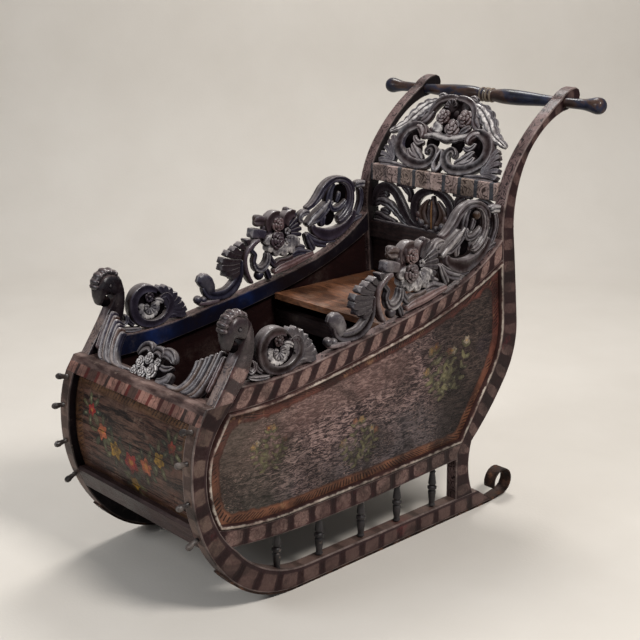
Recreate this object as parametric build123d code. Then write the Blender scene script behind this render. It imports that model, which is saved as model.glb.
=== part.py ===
"""Carved push sleigh: millimetres, +Z up, the front faces -Y, left side is +X."""
import os
from math import cos, radians, sin

from build123d import *

os.makedirs("parts", exist_ok=True)

# Frame members
HALF_WIDTH = 250.0        # outer face of the side frames
MEMBER = 33.0             # thickness of the side frames across the sleigh
INNER = HALF_WIDTH - MEMBER
SHOE = 4.0                # iron strip under the runner
RUNNER_TOP = 48.0
RAIL_FRONT_TOP = 485.0    # top of the rail across the bow
RAIL_FRONT_LOW = 450.0

# Boards
PANEL_IN = 233.0          # inner face of the side panels
PANEL = 10.0
BEAD_W = 11.0             # moulding round the side panels
BEAD_OUT = 254.0
BOARD = 12.0

# Seat and back
SEAT_TOP = 527.0
SEAT_BOARD = 15.0
SEAT_FRONT = 20.0
BACK_FRONT = 364.0        # front face of the rails across the back
BACK_RAIL = 26.0

# Handle bar
BAR_Y = 578.0
BAR_Z = 1006.0
BAR_HALF = 366.0

# Iron roll at the rear of each shoe
ROLL_Y = 394.0
ROLL_Z = 42.0
ROLL_R = 35.0

# Carvings
CARVE = 26.0              # thickness of the carvings on the side rails
CREST_LEAN = 31.0         # lean of the front crest, degrees from upright
CREST = 20.0
TOP_LEAN = 25.0           # lean of the back crest, degrees from upright


def outline(start, *steps):
    """Closed face in the YZ plane: a (y, z) step is a line, a pair of them an arc."""
    edges = []
    here = start
    for step in steps:
        if isinstance(step[0], tuple):
            through, to = step
            edges.append(ThreePointArc((0, *here), (0, *through), (0, *to)))
        else:
            to = step
            edges.append(Line((0, *here), (0, *to)))
        here = to
    if here != start:
        edges.append(Line((0, *here), (0, *start)))
    return Face(Wire(edges))


def slab(face, x_from, thick):
    """Side profile made solid from x_from outwards."""
    return extrude(Pos(x_from, 0, 0) * face, amount=thick, dir=(1, 0, 0))


def box_between(x0, x1, y0, y1, z0, z1):
    return Pos((x0 + x1) / 2, (y0 + y1) / 2, (z0 + z1) / 2) * Box(x1 - x0, y1 - y0, z1 - z0)


def disc(y, z, radius, x_from, thick):
    """Round block with its axis across the sleigh."""
    return Pos(x_from + thick / 2, y, z) * Rot(0, 90, 0) * Cylinder(radius, thick)


def save(name, shape):
    shape.label = name
    export_step(shape, f"parts/{name}.step")


def save_pair(name, left):
    save(f"left_{name}", left)
    save(f"right_{name}", mirror(left, about=Plane.YZ))


# ---------------------------------------------------------------- side frame
runner_face = outline(
    (-330, SHOE),
    (345, SHOE),
    (352, 14),
    (290, RUNNER_TOP),
    (-290, RUNNER_TOP),
    ((-400, 75), (-490, 150)),
    ((-549, 240), (-564, 340)),
    ((-551, 400), (-508, 464)),
    (-490.7, RAIL_FRONT_TOP),
    (-540, RAIL_FRONT_TOP),
    (-540, RAIL_FRONT_LOW),
    (-583, RAIL_FRONT_LOW),
    ((-598, 400), (-603, 350)),
    ((-588, 225), (-535, 117)),
    ((-439, 33), (-330, SHOE)),
)
runner = slab(runner_face, INNER, MEMBER)

post_face = outline(
    (210, RUNNER_TOP),
    (208, 172),
    (325, 342),
    ((357, 400), (369, 486)),
    ((360, 600), (351, 710)),
    ((365, 805), (405, 880)),
    ((475, 955), (560, 1014)),
    ((592, 1036), (618, 1041)),
    ((636, 1028), (634, 1010)),
    ((605, 993), (572, 985)),
    ((500, 951), (443, 897)),
    ((404, 810), (398, 690)),
    ((412, 581), (424, 475)),
    ((418, 400), (390, 337)),
    ((330, 258), (265, 193)),
    ((256, 125), (276, RUNNER_TOP)),
)
post = slab(post_face, INNER, MEMBER)

top_rail_face = outline(
    (-508, 464),
    ((-410, 462), (-311, 470)),
    ((-130, 496), (63, 532)),
    ((215, 577), (375, 648)),
    (375, 712),
    ((265, 632), (164, 593)),
    ((-10, 557), (-190, 530)),
    ((-310, 513), (-400, 509)),
    (-467.6, 513),
)
top_rail = slab(top_rail_face, INNER, MEMBER) - post

lower_rail_face = outline(
    (-560, 218),
    ((-450, 194), (-300, 187)),
    (-100, 188),
    (240, 196),
    (240, 157),
    (-100, 142),
    (-240, 142),
    ((-370, 147), (-510, 162)),
)
lower_rail = slab(lower_rail_face, INNER, MEMBER) - runner - post

panel_reach = outline((-585, 340), (-570, 190), (-480, 165), (235, 170), (395, 420), (380, 670), (0, 540), (-490, 490))
panel = slab(panel_reach, PANEL_IN, PANEL) - runner - post - top_rail - lower_rail
panel = max(panel.solids(), key=lambda s: s.volume)
panel_skin = max((f for f in panel.faces() if abs(f.normal_at().X) > 0.99), key=lambda f: f.center().X)
bead_face = panel_skin - offset(panel_skin, amount=-BEAD_W, kind=Kind.INTERSECTION)
bead = extrude(bead_face, amount=BEAD_OUT - PANEL_IN - PANEL, dir=(1, 0, 0))

# ---------------------------------------------------------------- finial on the bow
HEAD_Y = -470.0
HEAD_Z = 634.0
HEAD_R = 36.0
neck_face = outline(
    (-490.7, RAIL_FRONT_TOP),
    (-540, RAIL_FRONT_TOP),
    ((-507, 532), (-466, 592)),
    (HEAD_Y, HEAD_Z),
    (-434, 622),
    ((-438, 565), (-467.6, 513)),
)
neck = slab(neck_face, INNER, MEMBER)
head = disc(HEAD_Y, HEAD_Z, HEAD_R, INNER, MEMBER)
curl = disc(HEAD_Y - 20, HEAD_Z - 41, 14, INNER, MEMBER)
hook = disc(HEAD_Y - 10, HEAD_Z - 41, 7, INNER - 1, MEMBER + 2)
eye = disc(HEAD_Y - 3, HEAD_Z + 4, 5, INNER - 3, MEMBER + 6)
finial = neck + head + curl - hook + eye

# ---------------------------------------------------------------- iron shoe
shoe_reach = outline((-546, 95), (-520, 110), (-430, 50), (-320, 22), (330, 16), (330, -10), (-340, -10), (-460, 10))
band = offset(runner_face, amount=SHOE) - runner_face
shoe = slab(band & shoe_reach, INNER, MEMBER)
roll = disc(ROLL_Y, ROLL_Z, ROLL_R, INNER, MEMBER) - disc(ROLL_Y, ROLL_Z, ROLL_R - SHOE, INNER - 1, MEMBER + 2)
roll_gap = outline((ROLL_Y, ROLL_Z), (ROLL_Y - 60, ROLL_Z - 22), (ROLL_Y - 60, ROLL_Z - 60), (ROLL_Y, ROLL_Z - 60))
roll = roll - slab(roll_gap, INNER - 1, MEMBER + 2)
tongue_face = outline(
    (328, 0),
    (340, 0),
    (ROLL_Y + 1, ROLL_Z - ROLL_R),
    (ROLL_Y + 1, ROLL_Z - ROLL_R + SHOE),
    (352, SHOE),
    (328, SHOE),
)
shoe = shoe + slab(tongue_face, INNER, MEMBER) + roll - runner

# ---------------------------------------------------------------- spindles
SPINDLE_X = HALF_WIDTH - MEMBER / 2
SPINDLE_Y = (-368, -241, -108, 13, 138)
TENON = 8.0
spindle_profile = [
    (5.5, RUNNER_TOP - TENON),
    (5.5, RUNNER_TOP),
    (8.5, 52),
    (7.0, 58),
    (9.0, 74),
    (10.0, 88),
    (7.5, 93),
    (11.5, 96),
    (11.5, 101),
    (7.5, 104),
    (10.0, 110),
    (8.5, 124),
    (6.5, 136),
    (8.5, 141),
    (5.5, 146),
    (5.5, 155),
]


def turned(profile, plane):
    """Turned piece from (radius, height) pairs about the plane's own y axis."""
    points = [(0, profile[0][1])] + profile + [(0, profile[-1][1])]
    return revolve(plane * make_face(Polyline(*points, close=True)), axis=Axis(plane.origin, plane.y_dir))


spindle_one = turned(spindle_profile, Plane.XZ)
spindles = []
for y in SPINDLE_Y:
    lift = max(0.0, (-300 - y) * 0.21)
    piece = Pos(SPINDLE_X, y, lift / 2) * spindle_one
    spindles.append(piece)
lower_rail = lower_rail - Compound(spindles)
runner = runner - Compound(spindles)

# ---------------------------------------------------------------- pegs on the bow
# y, z of the foot on the bow, tilt of the peg above level
PEGS = (
    dict(y=-586.5, z=439, tilt=16),
    dict(y=-600.5, z=376, tilt=4),
    dict(y=-600.5, z=288, tilt=-8),
    dict(y=-582.0, z=201, tilt=-24),
)
peg_profile = [(4.5, -14), (4.5, 0), (6.0, 3), (5.0, 8), (6.0, 16), (7.5, 21), (7.0, 27), (4.0, 31)]
peg_one = turned(peg_profile, Plane.XZ)
pegs = []
for row in PEGS:
    pegs.append(Pos(SPINDLE_X, row["y"], row["z"]) * Rot(90 - row["tilt"], 0, 0) * peg_one)
runner = runner - Compound(pegs)

# ---------------------------------------------------------------- across the bow
front_rail = extrude(
    Pos(-HALF_WIDTH, 0, 0)
    * outline((-583, RAIL_FRONT_LOW), (-560, RAIL_FRONT_TOP), (-540, RAIL_FRONT_TOP), (-540, RAIL_FRONT_LOW)),
    amount=2 * HALF_WIDTH,
    dir=(1, 0, 0),
)
front_rail = front_rail + box_between(-INNER, INNER, -540, -514, RAIL_FRONT_LOW, RAIL_FRONT_TOP)

front_panel_face = outline(
    (-562, RAIL_FRONT_LOW),
    ((-577, 400), (-582, 350)),
    ((-569, 235), (-528, 148)),
    (-517, 155),
    ((-557, 240), (-570, 350)),
    ((-565, 402), (-550, RAIL_FRONT_LOW)),
)
front_panel = extrude(Pos(-INNER, 0, 0) * front_panel_face, amount=2 * INNER, dir=(1, 0, 0))
batten_face = outline((-586, 218), (-568, 172), (-538, 172), (-550, 222), (-580, 224))
front_batten = extrude(Pos(-INNER, 0, 0) * batten_face, amount=2 * INNER, dir=(1, 0, 0)) - front_panel
front_batten = max(front_batten.solids(), key=lambda s: s.volume)

# ---------------------------------------------------------------- front crest
crest_plane = Plane(
    origin=(0, -540, RAIL_FRONT_TOP),
    x_dir=(1, 0, 0),
    z_dir=(0, cos(radians(CREST_LEAN)), -sin(radians(CREST_LEAN))),
)


def leaning(face, plane, thick):
    """Face drawn across and up a leaning plane, made solid behind it."""
    return extrude(plane * face, amount=thick, dir=plane.z_dir)


def sheet(start, *steps):
    """Closed flat face from lines and arcs."""
    edges = []
    here = start
    for step in steps:
        if isinstance(step[0], tuple):
            through, to = step
            edges.append(ThreePointArc(here, through, to))
        else:
            to = step
            edges.append(Line(here, to))
        here = to
    if here != start:
        edges.append(Line(here, start))
    return Face(Wire(edges))


crest_flat = sheet(
    (0, 0),
    (INNER, 0),
    (INNER, -118),
    ((176, -100), (148, -76)),
    ((136, -32), (92, -8)),
    (66, -6),
    ((82, -36), (58, -60)),
    ((32, -76), (0, -68)),
)
crest_half = leaning(crest_flat, crest_plane, CREST)
front_crest = crest_half + mirror(crest_half, about=Plane.YZ)
front_crest = front_crest - front_rail
level = box_between(-400, 400, -700, 0, RAIL_FRONT_TOP, 900)
front_crest = front_crest & level

# ---------------------------------------------------------------- seat and floor
seat_board = box_between(-INNER, INNER, SEAT_FRONT, 372, SEAT_TOP - SEAT_BOARD, SEAT_TOP)
both_posts = post + mirror(post, about=Plane.YZ)
seat_board = seat_board - both_posts
cleat = box_between(INNER - 22, PANEL_IN, SEAT_FRONT + 30, 340, SEAT_TOP - SEAT_BOARD - 20, SEAT_TOP - SEAT_BOARD)
cleat = cleat - top_rail
seat_cleats = [cleat, mirror(cleat, about=Plane.YZ)]
seat_rail = box_between(-PANEL_IN, PANEL_IN, 38, 62, 440, 478)

FLOOR_TOP = 196.0
floor_boards = []
for number in range(5):
    wide = 2 * INNER / 5
    x0 = -INNER + number * wide
    floor_boards.append(box_between(x0 + 0.6, x0 + wide - 0.6, -500, 205, FLOOR_TOP - BOARD, FLOOR_TOP))
floor_bearers = []
for y in (-440, -220, 0, 180):
    floor_bearers.append(box_between(-INNER, INNER, y - 22, y + 22, 152, FLOOR_TOP - BOARD))

# ---------------------------------------------------------------- back
back_panel_face = outline(
    (222, 150),
    (222, 172),
    (340, 343),
    ((372, 402), (384, 486)),
    ((376, 590), (376, 624)),
    (388, 624),
    ((388, 590), (396, 486)),
    ((384, 400), (350, 336)),
    (234, 168),
    (234, 150),
)
back_panel = extrude(Pos(-INNER, 0, 0) * back_panel_face, amount=2 * INNER, dir=(1, 0, 0))
lower_back_rail = box_between(-INNER, INNER, BACK_FRONT, BACK_FRONT + BACK_RAIL, 624, 668)
upper_back_rail = box_between(-INNER, INNER, BACK_FRONT, BACK_FRONT + BACK_RAIL, 780, 824)
seat_board = seat_board - back_panel

tracery_plane = Plane(origin=(0, BACK_FRONT + 4, 668), x_dir=(1, 0, 0), z_dir=(0, 1, 0))


def oval(u, v, wide, high, turn=0.0):
    return Pos(u, -v) * Rot(0, 0, turn) * Ellipse(wide, high)


def both(face):
    return face + mirror(face, about=Plane.YZ)


tracery_flat = oval(0, 56, 78, 56) - oval(0, 56, 54, 42) + oval(0, 52, 30, 38)
tracery_flat = tracery_flat + Pos(0, -11) * Rectangle(44, 22)
arch = oval(150, 30, 72, 82, 0) - oval(152, 20, 56, 74, 0)
tracery_flat = tracery_flat + both(arch) + both(oval(175, 38, 34, 20, 20)) + both(oval(125, 20, 24, 14, -30))
strips = Pos(0, -3) * Rectangle(2 * INNER, 6) + Pos(0, -109) * Rectangle(2 * INNER, 6)
window = Pos(0, -56) * Rectangle(2 * INNER, 112)
tracery_flat = (tracery_flat + strips) & window
back_tracery = leaning(tracery_flat, tracery_plane, 18.0)

top_plane = Plane(
    origin=(0, BACK_FRONT + 3, 824),
    x_dir=(1, 0, 0),
    z_dir=(0, cos(radians(TOP_LEAN)), -sin(radians(TOP_LEAN))),
)
# oval lobes of the back crest: centre u, v, half sizes, and the hole in each
LOBES = (
    dict(u=112, v=78, wide=50, high=48, hole_wide=24, hole_high=22),
    dict(u=40, v=46, wide=32, high=36, hole_wide=13, hole_high=15),
    dict(u=62, v=138, wide=40, high=30, hole_wide=0, hole_high=0),
    dict(u=150, v=26, wide=60, high=22, hole_wide=0, hole_high=0),
    dict(u=178, v=58, wide=38, high=18, hole_wide=0, hole_high=0),
)
top_flat = oval(0, 152, 58, 50) + oval(0, 96, 44, 34) + Pos(0, -10) * Rectangle(2 * 205, 20)
for row in LOBES:
    top_flat = top_flat + both(oval(row["u"], row["v"], row["wide"], row["high"]))
for row in LOBES:
    if row["hole_wide"]:
        top_flat = top_flat - both(oval(row["u"], row["v"], row["hole_wide"], row["hole_high"]))
top_window = Pos(0, -110) * Rectangle(2 * INNER, 260)
back_crest = leaning(top_flat & top_window, top_plane, 24.0)
above = box_between(-400, 400, 300, 700, 824, 1100)
back_crest = back_crest & above

# ---------------------------------------------------------------- carvings on the side rails
CARVE_X = HALF_WIDTH - 4 - CARVE
# round lobes: centre y, z, radius, bore
FRONT_SCROLL = (
    dict(y=-368, z=563, r=52, bore=0),
    dict(y=-306, z=560, r=23, bore=8),
    dict(y=-272, z=546, r=21, bore=0),
    dict(y=-418, z=530, r=20, bore=0),
)
REAR_CARVING = (
    dict(y=-196, z=550, r=18, bore=0),
    dict(y=-160, z=572, r=30, bore=0),
    dict(y=-112, z=592, r=46, bore=0),
    dict(y=-92, z=636, r=42, bore=0),
    dict(y=-30, z=612, r=48, bore=20),
    dict(y=48, z=665, r=64, bore=0),
    dict(y=128, z=660, r=46, bore=14),
    dict(y=195, z=690, r=62, bore=0),
    dict(y=284, z=742, r=58, bore=22),
    dict(y=268, z=672, r=52, bore=16),
)


def carved(rows):
    solid = None
    for row in rows:
        lobe = disc(row["y"], row["z"], row["r"], CARVE_X, CARVE)
        solid = lobe if solid is None else solid + lobe
    for row in rows:
        if row["bore"]:
            solid = solid - disc(row["y"], row["z"], row["bore"], CARVE_X - 1, CARVE + 2)
    return solid


below_rail = outline(
    (-508, 464),
    (-467.6, 513),
    (-400, 509),
    ((-310, 513), (-190, 530)),
    ((-10, 557), (164, 593)),
    ((265, 632), (375, 712)),
    (375, 400),
    (-508, 400),
)
under = slab(below_rail, 150, 150)
front_scroll = carved(FRONT_SCROLL) - under - finial
front_scroll = max(front_scroll.solids(), key=lambda s: s.volume)
rear_carving = carved(REAR_CARVING) - under - post
rear_carving = max(rear_carving.solids(), key=lambda s: s.volume)

# ---------------------------------------------------------------- handle bar
# half of the turned bar: radius, distance from the middle
bar_half = [
    (16, 0),
    (16, 3),
    (19, 6),
    (16, 10),
    (16, 14),
    (19, 17),
    (16, 21),
    (20, 60),
    (19, 110),
    (15, 165),
    (13, 200),
    (13, 300),
    (16, 322),
    (21, 342),
    (19, 356),
    (10, BAR_HALF),
]
bar_profile = [(r, -x) for r, x in reversed(bar_half[1:])] + bar_half
bar_plane = Plane(origin=(0, BAR_Y, BAR_Z), x_dir=(0, 0, 1), z_dir=(0, 1, 0))
bar_one = turned(bar_profile, Plane.XZ)
handle_bar = Pos(0, BAR_Y, BAR_Z) * Rot(0, 90, 0) * bar_one
post = post - handle_bar
back_crest = back_crest - handle_bar

# ---------------------------------------------------------------- write
save_pair("runner", runner)
save_pair("shoe", shoe)
save_pair("finial", finial)
save_pair("back_post", post)
save_pair("top_rail", top_rail)
save_pair("lower_rail", lower_rail)
save_pair("side_panel", panel)
save_pair("panel_moulding", bead)
save_pair("spindles", Compound(spindles))
save_pair("pegs", Compound(pegs))
save_pair("front_scroll", front_scroll)
save_pair("rear_carving", rear_carving)
save("front_panel", front_panel)
save("front_rail", front_rail)
save("front_crest", front_crest)
save("front_batten", front_batten)
save("floor_boards", Compound(floor_boards))
save("floor_bearers", Compound(floor_bearers))
save("seat_board", seat_board)
save("seat_rail", seat_rail)
save("seat_cleats", Compound(seat_cleats))
save("back_panel", back_panel)
save("lower_back_rail", lower_back_rail)
save("upper_back_rail", upper_back_rail)
save("back_tracery", back_tracery)
save("back_crest", back_crest)
save("handle_bar", handle_bar)
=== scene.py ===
from math import cos, pi, radians, sin
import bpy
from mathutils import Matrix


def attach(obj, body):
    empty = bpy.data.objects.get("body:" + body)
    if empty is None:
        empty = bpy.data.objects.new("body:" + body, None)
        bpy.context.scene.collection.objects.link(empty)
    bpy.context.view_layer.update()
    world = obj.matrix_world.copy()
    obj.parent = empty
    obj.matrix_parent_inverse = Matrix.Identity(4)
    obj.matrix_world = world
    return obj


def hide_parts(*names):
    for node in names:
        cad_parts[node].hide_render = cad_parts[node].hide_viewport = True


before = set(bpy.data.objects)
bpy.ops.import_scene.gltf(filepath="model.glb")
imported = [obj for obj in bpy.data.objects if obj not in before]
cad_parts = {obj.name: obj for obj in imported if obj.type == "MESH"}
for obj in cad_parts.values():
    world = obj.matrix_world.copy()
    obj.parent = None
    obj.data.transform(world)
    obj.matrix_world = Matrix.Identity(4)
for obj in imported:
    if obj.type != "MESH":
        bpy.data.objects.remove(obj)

from types import SimpleNamespace

import bpy
import numpy as np
from mathutils import Matrix, Vector

bl_info = {
    "name": "Carved push sleigh",
    "version": (1, 0, 0),
    "blender": (4, 5, 0),
    "location": "3D View > Sidebar > Sleigh",
    "description": "Painted bars, carved scrolls, panels and boards of a push sleigh",
    "category": "Object",
}

MM = 0.001
FACE = 250.0      # outer faces of the side frames
BACK = 217.0      # inner faces of the side frames
MIDDLE = 233.0    # middle of the carved boards on the side rails
PANEL = 233.0, 243.0, 254.0                 # inner and outer face of the side panels, top of their moulding
PANEL_MIDDLE = np.array([-90.0, 350.0])
ROUNDING = 54.0   # radius to which the corners of a panel's border are rounded


def tone(red, green, blue):
    """A screen colour of 0 to 255 as the linear colour that shaders take."""
    srgb = np.array([red, green, blue]) / 255.0
    linear = np.where(srgb <= 0.04045, srgb / 12.92, ((srgb + 0.055) / 1.055) ** 2.4)
    return tuple(float(v) for v in linear)


# ---------------------------------------------------------------- lines
def arc(start, through, end, count):
    """Even points on the circle through three points, found from its centre and the three angles."""
    (x1, y1), (x2, y2), (x3, y3) = start, through, end
    twice = 2 * (x1 * (y2 - y3) + x2 * (y3 - y1) + x3 * (y1 - y2))
    s1, s2, s3 = x1 * x1 + y1 * y1, x2 * x2 + y2 * y2, x3 * x3 + y3 * y3
    cx = (s1 * (y2 - y3) + s2 * (y3 - y1) + s3 * (y1 - y2)) / twice
    cy = (s1 * (x3 - x2) + s2 * (x1 - x3) + s3 * (x2 - x1)) / twice
    angles = np.unwrap([np.arctan2(y - cy, x - cx) for x, y in (start, through, end)])
    turn = np.linspace(angles[0], angles[2], count)
    radius = np.hypot(x1 - cx, y1 - cy)
    return np.stack([cx + radius * np.cos(turn), cy + radius * np.sin(turn)], 1)


def chain(start, *steps, count=40):
    """Points along a start and its steps: a single point is a straight run, a pair of points an arc."""
    parts = []
    for step in steps:
        if isinstance(step[0], tuple):
            parts.append(arc(start, step[0], step[1], count))
            start = step[1]
        else:
            parts.append(np.linspace(start, step, count))
            start = step
    return np.vstack([parts[0]] + [part[1:] for part in parts[1:]])


def run_of(line):
    """Distance run along a line at each of its points, in its first two columns."""
    return np.concatenate([[0.0], np.cumsum(np.linalg.norm(np.diff(line[:, :2], axis=0), axis=1))])


def even(line, count, ends=0.0):
    """The line at count even distances; ends above 0 draws the points closer near both ends."""
    run = run_of(line)
    part = np.linspace(0, 1, count)
    part = part - ends * np.sin(2 * pi * part) / (2 * pi)
    return np.stack([np.interp(part * run[-1], run, column) for column in line.T], 1)


def through(rows, count, ends=0.6):
    """Even points on the curve through the rows: between two rows a cubic whose slope at each row is
    half the step from the row before it to the row after it (Catmull-Rom). Every column follows it."""
    rows = np.asarray(rows, float)
    ring = np.vstack([2 * rows[0] - rows[1], rows, 2 * rows[-1] - rows[-2]])
    t = np.linspace(0, len(rows) - 1, 20 * len(rows))
    k = np.clip(t.astype(int), 0, len(rows) - 2)
    f = (t - k)[:, None]
    a, b, c, d = ring[k], ring[k + 1], ring[k + 2], ring[k + 3]
    dense = 0.5 * (2 * b + (c - a) * f + (2 * a - 5 * b + 4 * c - d) * f**2 + (3 * b - a - 3 * c + d) * f**3)
    return even(dense, count, ends)


def smooth_step(value):
    value = np.clip(value, 0, 1)
    return value * value * (3 - 2 * value)


# ---------------------------------------------------------------- closed solids
def grid_faces(rings, around, closed=False):
    """Quads between neighbouring rings of points, and between the last and first where the path is closed."""
    i = np.arange(rings if closed else rings - 1)[:, None]
    j = np.arange(around)[None, :]
    here, there = i * around, ((i + 1) % rings) * around
    corners = [here + j, here + (j + 1) % around, there + (j + 1) % around, there + j]
    return np.stack(corners, -1).reshape(-1, 4)


def solid(points, closed=False, **marks):
    """A closed solid from rings of points (rings, around, 3), with a fan of triangles on a middle point at
    each end. Its faces are turned outwards by the sign of its volume. Marks are one value for each point."""
    rings, around = points.shape[:2]
    quads = grid_faces(rings, around, closed)
    flat = points.reshape(-1, 3)
    marks = {name: np.broadcast_to(value, (rings, around)).reshape(-1) for name, value in marks.items()}
    tris = np.zeros((0, 3), int)
    if not closed:
        j = np.arange(around)
        k = (j + 1) % around
        last = (rings - 1) * around
        poles = rings * around
        tris = np.vstack([
            np.stack([np.full(around, poles), k, j], 1),
            np.stack([np.full(around, poles + 1), last + j, last + k], 1),
        ])
        flat = np.vstack([flat, points[0].mean(0), points[-1].mean(0)])
        marks = {name: np.concatenate([v, [v[:around].mean(), v[last:].mean()]]) for name, v in marks.items()}
    corners = np.vstack([quads[:, [0, 1, 2]], quads[:, [0, 2, 3]], tris])
    a, b, c = (flat[corners[:, n]] for n in range(3))
    if np.einsum("ij,ij->i", a, np.cross(b, c)).sum() < 0:
        quads, tris = quads[:, ::-1], tris[:, ::-1]
    return {"points": flat, "quads": quads, "tris": tris, "marks": marks}


def placed(solids, origin, right, up, out):
    """Solids drawn as right, up and out of a plane, set on that plane."""
    axes = np.array([right, up, out], float)
    flip = np.linalg.det(axes) < 0
    moved = []
    for one in solids:
        points = one["points"] @ axes + np.asarray(origin, float)
        quads, tris = (one["quads"][:, ::-1], one["tris"][:, ::-1]) if flip else (one["quads"], one["tris"])
        moved.append({"points": points, "quads": quads, "tris": tris, "marks": one["marks"]})
    return moved


def mirrored(solids):
    """The same solids on the other side of the middle plane of the sleigh."""
    return placed(solids, (0, 0, 0), (-1, 0, 0), (0, 1, 0), (0, 0, 1))


def build(name, solids, finish, node):
    """One object from solids in millimetres; every mark becomes an attribute of its points."""
    starts = np.cumsum([0] + [len(one["points"]) for one in solids[:-1]])
    points = np.vstack([one["points"] for one in solids]) * MM
    faces = []
    for one, start in zip(solids, starts):
        faces += (one["quads"] + start).tolist() + (one["tris"] + start).tolist()
    mesh = bpy.data.meshes.new(name)
    mesh.from_pydata(points.tolist(), [], faces)
    for mark in sorted({key for one in solids for key in one["marks"]}):
        values = np.concatenate([one["marks"].get(mark, np.zeros(len(one["points"]))) for one in solids])
        mesh.attributes.new(mark, "FLOAT", "POINT").data.foreach_set("value", values.astype(np.float32))
    mesh.shade_smooth()
    mesh.set_sharp_from_angle(angle=radians(42))
    mesh.materials.append(finish)
    piece = bpy.data.objects.new(name, mesh)
    bpy.context.scene.collection.objects.link(piece)
    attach(piece, "root")
    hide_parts(node)
    return piece


# ---------------------------------------------------------------- bars
ACROSS = [1, 1, 1, 1, 1, 0.8, 0.0, 0.8]     # five points round a corner, three on the flat after it


def corner_ring(corners, radius):
    """A closed outline with rounded corners: at each corner a curve of five points between the points at
    radius before and after it, and three points on the flat run to the next. across is 1 at a corner and
    falls to 0 in the middle of a flat."""
    corners = np.asarray(corners, float)
    before, after = np.roll(corners, 1, 0) - corners, np.roll(corners, -1, 0) - corners
    enter = corners + before / np.linalg.norm(before, axis=1)[:, None] * radius
    leave = corners + after / np.linalg.norm(after, axis=1)[:, None] * radius
    t = np.linspace(0, 1, 5)[None, :, None]
    bend = (1 - t) ** 2 * enter[:, None] + 2 * t * (1 - t) * corners[:, None] + t**2 * leave[:, None]
    f = np.array([0.1, 0.5, 0.9])[None, :, None]
    flat = leave[:, None] * (1 - f) + np.roll(enter, -1, 0)[:, None] * f
    ring = np.concatenate([bend, flat], 1).reshape(-1, 2)
    return ring, np.tile(ACROSS, len(corners))


def bent_bar(outer, inner, near, far, corner=3.0, share=0.34, pace=1.0):
    """A bar between two lines of the same number of points (y, z): at each pair a rectangle with rounded
    corners, from near to far across the sleigh. along is the run of the nearest point on the middle line,
    times pace, side goes from -1 on the inner line to 1 on the outer one, and facing is 1 on the face
    turned away from the sleigh."""
    middle, half = (outer + inner) / 2, (outer - inner) / 2
    reach = np.linalg.norm(half, axis=1)[:, None]
    unit = half / reach
    angle = np.tile(np.linspace(0, pi / 2, 5), (4, 1)) + (np.arange(4) * pi / 2)[:, None]
    signs = np.array([(1, 1), (-1, 1), (-1, -1), (1, -1)], float)
    a = signs[None, :, None, 0] * (reach[:, :, None, None] - corner)[:, 0] + corner * np.cos(angle)
    width = (far - near) / 2
    x = np.broadcast_to(signs[None, :, None, 1] * (width - corner) + corner * np.sin(angle), a.shape)
    f = np.array([0.07, 0.5, 0.93])
    a_flat = a[:, :, 4:5] * (1 - f) + np.roll(a, -1, 1)[:, :, 0:1] * f
    x_flat = x[:, :, 4:5] * (1 - f) + np.roll(x, -1, 1)[:, :, 0:1] * f
    a = np.concatenate([a, a_flat], 2).reshape(len(outer), -1)
    x = np.concatenate([x, x_flat], 2).reshape(len(outer), -1)
    flats = np.repeat([1.0, 0.0, -1.0, 0.0], 3).reshape(4, 3)
    facing = np.concatenate([np.sin(angle), flats], 1).reshape(-1)
    place = middle[:, None] + unit[:, None] * a[:, :, None]
    points = np.concatenate([(x + (near + far) / 2)[:, :, None], place], 2)
    share = np.broadcast_to(share, len(outer))[:, None]
    line = even(middle, 500)
    off = points[:, :, None, 1:] - line
    along = run_of(line)[(off**2).sum(3).argmin(2)] * MM * pace
    return solid(points, along=along, across=np.tile(ACROSS, 4), side=a / reach, facing=facing, share=share)


def pairs(outer, inner, count):
    """Two lines cut at the same number of even points."""
    return even(outer, count), even(inner, count)


def straight_bar(corners, near, far, radius=2.5, count=40):
    """A bar across the sleigh with an outline (y, z) that has rounded corners; its ends are rounded over by
    drawing the last rings in towards the middle of the outline."""
    ring, across = corner_ring(corners, radius)
    steps, inset = np.array([0.0, 0.5, 1.5, 3.5]), np.array([3.2, 1.6, 0.5, 0.0])
    x = np.concatenate([near + steps, np.linspace(near + 5, far - 5, count), far - steps[::-1]])
    draw = np.concatenate([inset, np.zeros(count), inset[::-1]])[:, None, None]
    spoke = ring - np.mean(corners, 0)
    place = ring[None] - spoke / np.linalg.norm(spoke, axis=1)[:, None] * draw
    points = np.concatenate([np.broadcast_to(x[:, None, None], place.shape[:2] + (1,)), place], 2)
    return solid(points, along=(x - near)[:, None] * MM, across=across, side=0.0, facing=0.0)


def lathe(profile, centre, axis, count=28, steps=6):
    """A turned piece: radius and distance along the axis, smoothed, carried round the axis."""
    line = through(profile, steps * len(profile), 0.0)
    axis = np.asarray(axis, float)
    first = np.cross(axis, (0.36, 0.48, 0.8))
    first /= np.linalg.norm(first)
    second = np.cross(axis, first)
    turn = np.linspace(0, 2 * pi, count, endpoint=False)
    spoke = np.cos(turn)[:, None] * first + np.sin(turn)[:, None] * second
    radius = np.maximum(line[:, 0], 0.2)
    middle = np.asarray(centre, float) + axis * line[:, 1][:, None, None]
    points = middle + spoke[None] * radius[:, None, None]
    return solid(points, along=line[:, 1][:, None] * MM, crown=smooth_step((radius - 4) / 8)[:, None])


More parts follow.
